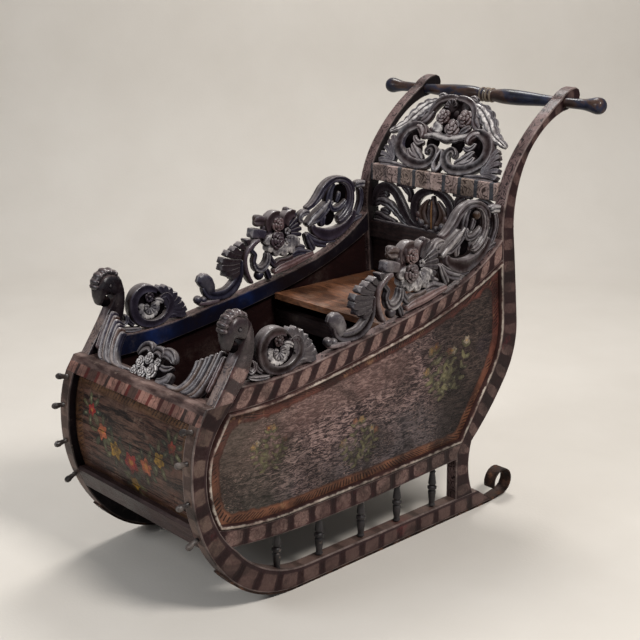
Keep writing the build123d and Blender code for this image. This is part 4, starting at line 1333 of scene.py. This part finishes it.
class SLEIGH_OT_rail_carvings(bpy.types.Operator):
    """Builds the carved scrolls and flowers that stand on the top rails"""

    bl_idname = "sleigh.rail_carvings"
    bl_label = "Rail carvings"

    def execute(self, context):
        ready_groups(context)
        half = context.scene.sleigh_sizes.carving / MM / 2
        finish = carved_material(context)
        for name, carve in (("front_scroll", self.front_scroll), ("rear_carving", self.rear_carving)):
            solids = placed(carve(half), (MIDDLE, 0, 0), (0, 1, 0), (0, 0, 1), (1, 0, 0))
            pair_of(name, solids, finish)
        return {"FINISHED"}

    def front_scroll(self, half):
        """A heart-shaped ring of hollowed band round a silver shell on a black disc that paints the shade
        inside the ring, with a toothed leaf behind it and small curls before it."""
        parts = [
            band([(-336, 594, 6), (-350, 603, 9), (-372, 608, 12), (-393, 601, 13), (-405, 583, 13),
                (-406, 560, 12.5), (-396, 538, 12), (-374, 524, 11), (-346, 520, 10), (-320, 528, 10.5),
                (-304, 545, 10.5), (-300, 565, 10), (-311, 582, 8), (-324, 581, 6), (-329, 572, 4)], half + 2,
                0, 0.0, 120, 3.4, scoop=0.3, pale=-0.1, tint=-0.15),
            # a black disc behind the shell: painted shade inside the ring
            ball(-356, 564, 44, 0, 0.12, 30, 0.1, pale=-1.0),
            band([(-448, 546, 3), (-437, 533, 6), (-426, 540, 6), (-428, 556, 4)], half - 3, 2),
            band([(-442, 522, 4), (-424, 517, 7), (-404, 514, 7), (-386, 514, 4)], half - 2, 2, pale=0.2),
            band([(-424, 552, 4), (-418, 536, 6), (-404, 524, 6)], half - 3, 2, pale=-0.4),
            band([(-322, 530, 8), (-296, 532, 12), (-272, 527, 10), (-256, 526, 5)], half - 3, 3, pale=-0.2),
        ]
        tips = ((-336, 604), (-320, 604), (-303, 597), (-287, 586), (-273, 572), (-262, 556), (-254, 541),
            (-256, 528))
        parts += fan([(-316, 556)] * 8, tips, 7.0, half - 2, -0.16, pale=-0.4)
        shell = petals(-364, 563, 8, 31, 7.2, 8, 168, 4, 10, 4.0, 230, 0.9, 0, pale=1.0)
        shell += petals(-362, 562, 2, 18, 6.5, 7, 160, 9, 12, 3.2, 250, pale=0.8)
        shell += petals(-362, 586, 2, 13, 6, 5, 20, 7, 10, 3.5, tint=-0.2, pale=-0.35)
        shell += [
            ball(-362, 586, 5, 11, pale=-0.5),
            band([(-346, 578, 4, 7), (-334, 574, 7, 9), (-322, 566, 5, 8)], 4, 2, 0.2, 16, pale=0.5),
        ]
        return parts + both_faces(shell)

    def rear_carving(self, half):
        """From the front: a bud with a curled leaf, a hollowed band with a lobed leaf on its back, a dark C
        round a smaller one, a great flower with two rose heads under folded petals, and a high reeded
        scroll that comes down to a leaf along the rail."""
        parts = [
            band([(-198, 584, 8), (-190, 566, 11), (-174, 554, 13), (-150, 551, 14), (-124, 554, 16),
                (-102, 568, 17), (-88, 590, 14), (-83, 612, 10), (-79, 630, 6)], half - 1, 2, 0.3, 80,
                scoop=0.15, pale=-0.1),
            pillow([(-219, 597), (-213, 610), (-200, 615), (-186, 612), (-172, 600), (-163, 580), (-163, 556),
                (-186, 552), (-196, 570), (-210, 583)], (-187, 591), half - 1, 2.8, 14, pale=-0.35),
            ball(-215, 550, 11, 0, 1.0, 18, 0.8, pale=-0.3), ball(-198, 546, 10, 0, 1.0, 18, 0.8, pale=-0.3),
            band([(-216, 540, 5), (-186, 538, 7), (-150, 538, 6)], half - 2, 0, 0.0, 24, tint=-0.4),
            band([(-46, 562, 5), (-58, 580, 6.5), (-67, 604, 7), (-69, 630, 7), (-60, 650, 8), (-40, 666, 9),
                (-20, 672, 8)], half + 2, 0, 0.0, 60, 2.4, tint=-0.35),
            band([(-24, 667, 5), (-38, 660, 6), (-45, 648, 6), (-34, 634, 6), (-38, 616, 6), (-30, 598, 5)],
                half - 3, 2, 0.25, 50, pale=0.1),
            band([(-38, 614, 6), (-30, 599, 9), (-14, 594, 11), (0, 602, 10), (7, 616, 8), (8, 634, 5)], half,
                2, 0.25, 44, scoop=0.15, pale=0.4),
            ball(-20, 578, 13, 0, 1.0),
            band([(-4, 596, 5), (6, 582, 8), (14, 562, 7)], half - 2, 2, pale=-0.2),
            band([(10, 640, 6), (16, 616, 9), (28, 600, 9), (40, 590, 5)], half - 4, 2, pale=-0.4),
        ]
        roots = ((-86, 600), (-85, 609), (-84, 618), (-82, 627), (-80, 636), (-76, 644), (-68, 654),
            (-56, 662))
        tips = ((-116, 592), (-136, 604), (-147, 621), (-144, 639), (-127, 655), (-106, 663), (-86, 672),
            (-58, 680))
        # the lobes are dark: partly their own paint, partly painted shade on their side faces
        parts += fan(roots, tips, 7.9, half, 0.06, pale=-1.0)
        parts += [
            # the four tongues are darkened by pale below 0: partly their own paint, partly painted shade on
            # their faces
            band([(-2, 682, 11), (-26, 688, 13), (-48, 692, 12)], half + 1, 0, 0.0, 24, 7.0, blunt=0.3,
                pale=-0.2, tint=-0.1),
            band([(-2, 714, 12), (-18, 719, 15), (-34, 720, 15)], half - 1, 2, 0.25, 26, 4.0, blunt=0.6,
                tint=0.25, pale=-0.3),
            band([(16, 686, 12), (12, 710, 15), (26, 725, 14), (50, 727, 9)], half + 1, 0, 0.0, 34, 5.0,
                scoop=0.34, blunt=0.6, pale=-0.6, tint=-0.3),
            band([(64, 690, 10), (67, 712, 14), (84, 723, 13), (102, 721, 8)], half + 1, 0, 0.0, 34, 5.0,
                scoop=0.34, blunt=0.6, pale=-0.6, tint=-0.3),
        ]
        parts += petals(60, 676, 18, 68, 6.4, 9, -40, 2, 5, half - 1, 126, 0.8, 0, pale=-0.35)
        parts += petals(46, 682, 18, 58, 17, 3, 140, 0, 2, half - 2, 90, 0.6, tint=-0.2, pale=-0.5)
        for y, z in ((-6, 662), (6, 636), (28, 620), (60, 615), (92, 621), (112, 640)):
            rows = [(50 + (y - 50) * part, 676 + (z - 676) * part, wide)
                    for part, wide in ((0.25, 8), (0.6, 15), (0.85, 13), (1, 3))]
            parts.append(band(rows, half + 4, 0, 0.0, 20, 3.4, scoop=0.16, blunt=0.6, pale=0.75))
        # a black disc behind the great flower: painted shade in its hollows
        parts.append(ball(54, 674, 36, 0, 0.42, crown=0.1, pale=-1.0))
        bloom = rose(36, 702, 19, 10, tint=-0.6) + rose(30, 664, 22, 14, tint=-0.3, pale=-0.4)
        bloom += petals(66, 682, 2, 10, 4.5, 5, 0, 12, 15, 3.0, 360, 0.7, 0, pale=0.8)
        bloom += petals(68, 660, 2, 11, 4.5, 5, 30, 12, 15, 3.0, 360, 0.7, 0, pale=0.8)
        parts += both_faces(bloom)
        parts += [
            band([(151, 716, 6), (136, 719, 9), (121, 713, 9), (117, 702, 8), (128, 696, 6)], half - 1, 2,
                0.3, 34, pale=0.35),
            ball(131, 707, 7, 6, 1.0, pale=0.3),
            band([(139, 726, 6), (162, 737, 8), (183, 754, 11), (201, 775, 11), (224, 789, 10), (251, 793, 9),
                (280, 786, 9), (300, 768, 10), (304, 746, 10)], half + 1, 2, 0.3, 90, scoop=0.1, tint=-0.15),
            band([(262, 786, 6), (284, 776, 11), (296, 755, 14), (297, 730, 16), (288, 708, 17),
                (270, 690, 16), (250, 682, 13)], half - 1, 4, 0.42, 70, blunt=0.5, pale=-0.15, tint=0.12),
            band([(240, 784, 5), (227, 769, 9), (219, 749, 12), (214, 729, 11), (202, 712, 8)], half - 1, 2,
                0.36, 50, scoop=0.1),
            band([(222, 742, 6), (207, 729, 10), (187, 715, 12), (165, 701, 12), (140, 683, 8)], half, 3,
                0.42, 60, blunt=0.5, pale=0.3),
            band([(226, 724, 6), (206, 710, 9), (184, 696, 10), (162, 688, 7)], half - 3, 2, 0.36, 40,
                pale=0.1),
            band([(280, 736, 6), (270, 724, 9), (250, 714, 9), (231, 715, 8), (225, 728, 6), (236, 736, 4)],
                half - 1, 2, 0.3, 50, pale=0.1),
            ball(262, 765, 11, 7, 0.9, tint=0.35, pale=0.2),
            band([(258, 760, 6), (252, 744, 8), (244, 730, 5)], half - 3, 2, 0.3, 20, pale=0.1),
            # black discs in the curls of the scroll: painted shade in its hollows
            ball(262, 752, 26, 0, 0.14, 24, 0.0, pale=-1.0), ball(220, 696, 24, 0, 0.14, 24, 0.0, pale=-1.0),
            band([(206, 704, 8), (196, 690, 11), (198, 672, 9)], half - 3, 2, 0.3, 24),
            band([(314, 704, 7), (300, 679, 12), (276, 661, 14), (246, 650, 17), (214, 648, 18),
                (184, 658, 15), (165, 671, 10), (166, 684, 6)], half + 1, 0, 0.0, 80, 3.4, scoop=0.34,
                tint=-0.2, pale=-0.15),
            band([(314, 768, 8), (332, 771, 10), (352, 768, 10)], half - 2, 2, 0.2, 26, 4.5, blunt=0.6,
                pale=0.4),
            band([(332, 762, 7), (338, 744, 8), (338, 722, 8), (330, 702, 8), (320, 684, 7)], half - 3, 2,
                0.3, 40, pale=-0.05),
            band([(304, 672, 6), (324, 680, 8), (344, 683, 6)], half - 4, 2, 0.3, 24, pale=0.2),
            # a black disc: painted shade in a hollow of the scroll
            ball(346, 720, 16, 0, 0.2, 18, 0.0, pale=-1.0),
            band([(138, 664, 5), (146, 646, 9), (156, 629, 11), (166, 612, 8)], half - 1, 2, 0.36, 36,
                pale=0.12),
            band([(140, 662, 4), (158, 642, 8), (184, 629, 10), (212, 621, 7)], half - 2, 2, 0.36, 40,
                pale=0.05),
            band([(142, 664, 4), (168, 647, 6), (204, 634, 8), (246, 630, 6)], half - 3, 2, 0.36, 40),
            band([(24, 578, 7), (50, 586, 12), (84, 592, 13), (122, 600, 12), (166, 608, 7)], half - 1, 3,
                0.32, 40, tint=-0.7),
            band([(26, 596, 6), (48, 603, 9), (72, 603, 9), (96, 612, 7)], half - 3, 2, 0.3, 30, tint=0.3,
                pale=-0.2),
            band([(86, 612, 7), (112, 618, 11), (140, 612, 9), (162, 610, 6)], half - 3, 2, 0.3, 34,
                pale=-0.1),
            band([(92, 628, 6), (112, 632, 9), (136, 624, 7)], half - 4, 2, 0.3, 24, pale=0.1),
        ]
        return parts


class SLEIGH_OT_front_crest(bpy.types.Operator):
    """Builds the carved crest over the bow: two fluted wings and a shell"""

    bl_idname = "sleigh.front_crest"
    bl_label = "Front crest"

    def execute(self, context):
        ready_groups(context)
        lean = radians(31)
        wings = []
        for k in range(6):
            rows = [(78 + 18 * k, 1, 4), (112 + 14 * k, 5 + 1.5 * k, 7), (134 + 12 * k, 28 + 3.5 * k, 7.2),
                    (142 + 11.5 * k, 58 + 7 * k, 7), (138 + 12.4 * k, 78 + 7.2 * k, 6)]
            odd = k % 2
            wings.append(band(rows, 10.0 + 2.0 * odd, 0, 0.0, 36, 2.2, 0.08, 3 + odd,
                              pale=0.02 + 0.14 * odd, tint=(0.0, 0.45, 0.15)[k % 3]))
        wings += [
            band([(60, 2, 6), (96, 1, 8), (130, 3, 7), (176, 4, 6)], 9.0, 2, 0.3, 30, pale=0.1),
            # a thin black sheet under the flutes: painted shade in the gaps between them
            band([(130, 8, 12), (160, 24, 30), (186, 62, 26), (200, 100, 10)], 3.0, 0, 0.0, 30, pale=-1.3),
            band([(204, 20, 6), (208, 60, 8), (210, 104, 6)], 9.0, 2, 0.34, 26, 3.0, 0.3, 5, tint=-0.5),
        ]
        side = [
            band([(32, 2, 8), (54, 4, 12), (70, 16, 12), (72, 32, 7)], 9.0, 3, 0.24, 24, 4.0, scoop=0.1,
                pale=0.15),
            band([(30, 36, 6), (48, 34, 8), (62, 38, 7), (70, 44, 4)], 8.0, 2, 0.24, 24, 4.0, scoop=0.1,
                pale=-0.1),
            band([(16, 60, 8), (36, 68, 13), (56, 64, 12), (70, 52, 6)], 9.0, 3, 0.24, 24, 4.0, scoop=0.1,
                pale=0.2),
            # black discs: painted shade in the hollows between the side leaves
            ball(50, 48, 14, 2, 0.3, 20, 0.0, pale=-1.0), ball(40, 32, 30, -2, 0.2, crown=0.1, pale=-1.0),
        ]
        shell = [
            # a black disc behind the roses: painted shade between them
            ball(-10, 24, 50, -3, 0.14, 28, 0.0, pale=-1.0),
            band([(-56, 42, 6), (-46, 60, 12), (-28, 68, 12), (-14, 58, 6)], 12.0, 2, 0.3, 24, 3.0, scoop=0.2,
                pale=0.1),
            band([(-8, 56, 6), (4, 66, 11), (20, 64, 11), (28, 52, 6)], 12.0, 2, 0.3, 24, 3.0, scoop=0.2,
                pale=0.25),
        ]
        for right, up, radius in ((12, 20, 17), (-12, 44, 14), (-36, 30, 14), (-18, 10, 14), (-46, 8, 12),
                (10, -6, 11), (-32, -10, 11), (-8, -12, 9), (18, 42, 10)):
            shell += rose(right, up, radius, 3, pale=1.25)
        parts = both_ways(wings) + shell + side
        solids = placed(parts, (0, -531.4, 479.9), (1, 0, 0), (0, sin(lean), cos(lean)),
            (0, -cos(lean), sin(lean)))
        build("front_crest_detail", solids, carved_material(context), "front_crest")
        return {"FINISHED"}


class SLEIGH_OT_back_carvings(bpy.types.Operator):
    """Builds the pierced tracery and the tall crest of the back"""

    bl_idname = "sleigh.back_carvings"
    bl_label = "Back carvings"

    def execute(self, context):
        ready_groups(context)
        finish = carved_material(context)
        solids = placed(self.tracery(), (0, 377, 668), (1, 0, 0), (0, 0, 1), (0, -1, 0))
        build("back_tracery_detail", solids, finish, "back_tracery")
        lean = radians(25)
        solids = placed(self.crest(), (0, 378, 819), (1, 0, 0), (0, sin(lean), cos(lean)),
            (0, -cos(lean), sin(lean)))
        build("back_crest_detail", solids, finish, "back_crest")
        return {"FINISHED"}

    def tracery(self):
        """A ring of two C bands round a bud, and an arch with leaves in it at each side."""
        dark = {"pale": -1.0}
        half = [
            band([(2, 8, 8), (26, 6, 11), (50, 20, 12), (64, 46, 13), (60, 74, 13), (42, 95, 12),
                (16, 105, 9), (0, 105, 6)], 10.0, 0, 0.0, 60, 3.4, scoop=0.3, **dark),
            band([(210, 36, 8), (207, 66, 12), (190, 90, 13), (162, 98, 13), (134, 86, 13), (113, 60, 13),
                (94, 33, 13), (72, 12, 12), (46, 2, 7)], 10.0, 0, 0.0, 70, 3.4, scoop=0.3, **dark),
            band([(212, 46, 7), (186, 56, 12), (156, 50, 13), (126, 32, 12), (100, 13, 9), (74, 2, 5)], 8.5,
                2, 0.4, 50, saw=0.25, teeth=6, pale=-0.5),
            band([(212, 14, 10), (190, 16, 12), (160, 8, 11), (128, 4, 7)], 8.5, 2, 0.36, 36, **dark),
            band([(208, 86, 6), (190, 74, 10), (172, 78, 9), (160, 70, 5)], 7.0, 2, 0.34, 26, **dark),
            band([(190, 30, 5), (172, 32, 9), (154, 26, 7)], 7.0, 2, 0.34, 20, pale=-0.2),
            band([(112, 108, 6), (92, 100, 12), (80, 86, 9), (84, 66, 5)], 8.0, 2, 0.34, 26, **dark),
            band([(66, 108, 5), (96, 109, 6), (130, 108, 5)], 8.0, 1, 0.3, 20, **dark),
            band([(8, 12, 10), (28, 26, 15), (36, 48, 15), (26, 70, 8), (14, 84, 3)], 7.5, 2, 0.3, 34,
                tint=0.3, pale=-0.6),
            ball(36, 18, 12, 4, 0.8, pale=-0.2), ball(48, 40, 10, 2, 0.8, tint=-0.4, pale=-0.2),
            ball(16, 10, 9, 5, 0.8, pale=-0.4), ball(50, 28, 7, 3, 0.9, tint=-0.5),
        ]
        bud = [
            band([(0, 6, 7), (0, 30, 15), (0, 52, 19), (0, 74, 10), (0, 96, 3)], 10.0, 2, 0.3, 40, tint=0.14,
                pale=-0.6),
            band([(0, 8, 2, 6), (0, 50, 3, 8), (0, 84, 2, 5)], 3.0, 0, 0.0, 20, tint=1.0, pale=0.1),
            band([(-212, 2, 5), (0, 2, 5), (212, 2, 5)], 9.0, 1, 0.2, 40, **dark),
        ]
        return both_ways(half) + bud

    def crest(self):
        """At each side a great C scroll that curls up again beside the middle, a falling leaf outside it and
        a fan of lobes at its foot; over them an arch round three roses."""
        half = [
            band([(84, 122, 8), (112, 118, 13), (138, 104, 16), (149, 80, 16), (145, 54, 16), (126, 35, 15),
                (96, 22, 15), (62, 17, 14), (34, 24, 13), (20, 42, 12), (22, 60, 10), (36, 68, 8),
                (48, 58, 6), (44, 46, 4)], 13.0, 0, 0.0, 130, 3.4, scoop=0.38, pale=0.34),
            band([(110, 120, 9), (90, 115, 14), (78, 102, 14), (80, 86, 9)], 11.0, 3, 0.36, 30, tint=-0.3),
            band([(54, 30, 7), (72, 42, 12), (88, 54, 12), (106, 72, 5)], 9.0, 2, 0.3, 30, saw=0.2, teeth=3,
                pale=0.2),
            band([(62, 34, 6), (84, 34, 10), (104, 44, 9), (112, 58, 5)], 9.0, 2, 0.3, 30, pale=0.05),
            band([(68, 80, 6), (84, 74, 9), (98, 82, 8), (104, 94, 5)], 9.0, 2, 0.34, 24, pale=0.1),
            band([(56, 190, 6), (80, 184, 15), (104, 168, 21), (128, 144, 21), (152, 118, 16), (198, 94, 6)],
                9.5, 4, 0.5, 90, 3.0, 0.3, 7, pale=0.9),
            band([(100, 128, 8), (86, 138, 13), (76, 152, 12), (70, 168, 6)], 9.0, 2, 0.34, pale=-0.2),
            band([(0, 204, 8), (30, 201, 10), (56, 190, 10), (72, 170, 9), (76, 150, 6)], 12.0, 0, 0.0, 50,
                3.4, scoop=0.25, tint=-0.2, pale=-0.2),
            band([(36, 202, 5), (52, 208, 8), (66, 202, 5)], 9.0, 2, 0.3, 20, pale=0.1),
            band([(64, 118, 7), (48, 108, 11), (30, 112, 8)], 9.0, 2, 0.34, 20, pale=-0.1),
            band([(0, 4, 9), (12, 26, 8), (8, 48, 6), (0, 68, 3)], 9.0, 1, pale=-0.1),
            band([(196, 6, 7), (150, 7, 10), (96, 3, 7)], 9.0, 2, 0.3, 30),
            # black discs: painted shade in the hollows of the C scroll
            ball(118, 86, 30, -3, 0.2, 24, 0.0, pale=-1.0), ball(96, 52, 28, -3, 0.2, 24, 0.0, pale=-1.0),
            ball(42, 82, 22, -4, 0.22, 24, 0.0, pale=-1.0), ball(168, 44, 24, -4, 0.22, 24, 0.0, pale=-1.0),
        ]
        half += fan([(150, 16)] * 6, ((202, 12), (202, 32), (196, 52), (190, 70), (182, 84), (166, 66)), 6.2,
            9.0, 0.08, pale=-0.25)
        middle = [
            # a black disc behind the roses: painted shade between them
            ball(4, 148, 60, -4, 0.14, 36, 0.0, pale=-1.0),
            ball(-12, 180, 21, -1, 0.4, 24, 0.5, pale=-0.25), ball(34, 184, 17, -1, 0.4, 24, 0.5, pale=-0.25),
            ball(10, 162, 15, -1, 0.4, 22, 0.4, pale=-0.5),
        ]
        for right, up, radius, pale in ((16, 123, 24, 0.15), (-27, 150, 21, 0.1), (46, 152, 23, 0.1)):
            middle += rose(right, up, radius, 3, tint=-0.4, pale=pale)
        middle += petals(-12, 180, 3, 20, 7, 5, 20, 3, 8, 4.0, 200, pale=0.1)
        middle += [
            band([(-52, 134, 6, 3), (-36, 122, 13, 6), (-20, 114, 9, 4)], 6.0, 0, 0.0, 24, 3.4, scoop=0.2,
                pale=0.75),
            band([(72, 134, 6, 3), (60, 124, 11, 5), (44, 112, 8, 4)], 6.0, 2, 0.3, 20, pale=0.25),
            band([(-74, 94, 7), (-36, 101, 11), (-4, 95, 12), (20, 98, 13), (50, 104, 12), (76, 112, 7)],
                10.0, 3, 0.36, 60, saw=0.25, teeth=5, pale=0.5, tint=0.12),
        ]
        return both_ways(half) + middle


class SLEIGH_OT_turned(bpy.types.Operator):
    """Turns the handle bar and finishes the spindles and pegs"""

    bl_idname = "sleigh.turned"
    bl_label = "Turned pieces"

    def execute(self, context):
        ready_groups(context)
        half = [(16, 0), (19, 3), (19, 5), (16, 8), (15.5, 12), (19, 15.5), (19, 18), (15, 21.5), (16, 26),
            (19.5, 60), (19, 110), (15.5, 165), (13.5, 200), (12.8, 216), (12.8, 250), (13.5, 300),
            (16.5, 322), (20.5, 342), (19, 355), (12, 363), (1, 366)]
        profile = [(radius, -reach) for radius, reach in reversed(half[1:])] + half
        bar = lathe(profile, (0, 578, 1006), (1, 0, 0), 36, 6)
        reach = np.abs(bar["marks"]["along"]) / MM
        rings = (smooth_step(1.6 - np.abs(reach - place) / 2.2) for place in (4, 16.7))
        bar["marks"]["ring"] = sum(rings)
        build("handle_bar_detail", [bar], bar_finish("Bar paint"), "handle_bar")
        dark = plain_finish("Dark turned wood", tone(50, 46, 48), tone(22, 19, 21))
        dress(["left_spindles", "right_spindles"], dark)
        dress(["left_pegs", "right_pegs"], plain_finish("Peg paint", tone(88, 80, 76), tone(36, 30, 30)))
        return {"FINISHED"}


class SLEIGH_OT_boards(bpy.types.Operator):
    """Finishes the seat, floor, back boards and iron shoes"""

    bl_idname = "sleigh.boards"
    bl_label = "Boards and iron"

    def execute(self, context):
        ready_groups(context)
        tones = tones_of(context)
        bench = board_finish("Bench boards", tones.bench, tone(66, 40, 28), (1.2, 9.0, 4.0), 0.5, 0.25)
        dress(["seat_board"], bench)
        brown = board_finish("Stained boards", tone(58, 34, 28), tone(26, 14, 13), (9.0, 1.0, 9.0), 0.3, 0.2)
        dress(["floor_boards", "floor_bearers", "seat_cleats"], brown)
        dark = board_finish("Dark cross boards", tone(46, 32, 31), tone(18, 12, 13), (1.0, 8.0, 8.0), 0.4,
            0.15)
        dress(["seat_rail", "back_panel", "lower_back_rail"], dark)
        batten = board_finish("Purple batten", tone(68, 52, 50), tone(42, 29, 29), (1.0, 8.0, 8.0), 0.15,
            0.08)
        dress(["front_batten"], batten)
        dress(["left_shoe", "right_shoe"], iron_finish("Wrought iron"))
        return {"FINISHED"}


class SLEIGH_PT_sidebar(bpy.types.Panel):
    """Lists the steps and the settings of the sleigh"""

    bl_label = "Push sleigh"
    bl_idname = "SLEIGH_PT_sidebar"
    bl_space_type = "VIEW_3D"
    bl_region_type = "UI"
    bl_category = "Sleigh"

    def draw(self, context):
        layout = self.layout
        for step in STEPS:
            layout.operator(step.bl_idname)
        for group in (context.scene.sleigh_colours, context.scene.sleigh_sizes):
            for name in group.bl_rna.properties.keys():
                if name not in {"rna_type", "name"}:
                    layout.prop(group, name)


STEPS = (SLEIGH_OT_stage, SLEIGH_OT_side_bars, SLEIGH_OT_cross_bars, SLEIGH_OT_panels, SLEIGH_OT_finials,
    SLEIGH_OT_rail_carvings, SLEIGH_OT_front_crest, SLEIGH_OT_back_carvings, SLEIGH_OT_turned,
    SLEIGH_OT_boards)
CLASSES = (SleighColours, SleighSizes) + STEPS + (SLEIGH_PT_sidebar,)


def register():
    for one in CLASSES:
        bpy.utils.register_class(one)
    bpy.types.Scene.sleigh_colours = bpy.props.PointerProperty(type=SleighColours)
    bpy.types.Scene.sleigh_sizes = bpy.props.PointerProperty(type=SleighSizes)


def unregister():
    del bpy.types.Scene.sleigh_sizes
    del bpy.types.Scene.sleigh_colours
    for one in reversed(CLASSES):
        bpy.utils.unregister_class(one)


def main():
    """Builds the whole sleigh in order."""
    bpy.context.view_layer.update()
    register()
    for step in STEPS:
        area, name = step.bl_idname.split(".")
        getattr(getattr(bpy.ops, area), name)()


if __name__ == "__main__":
    main()
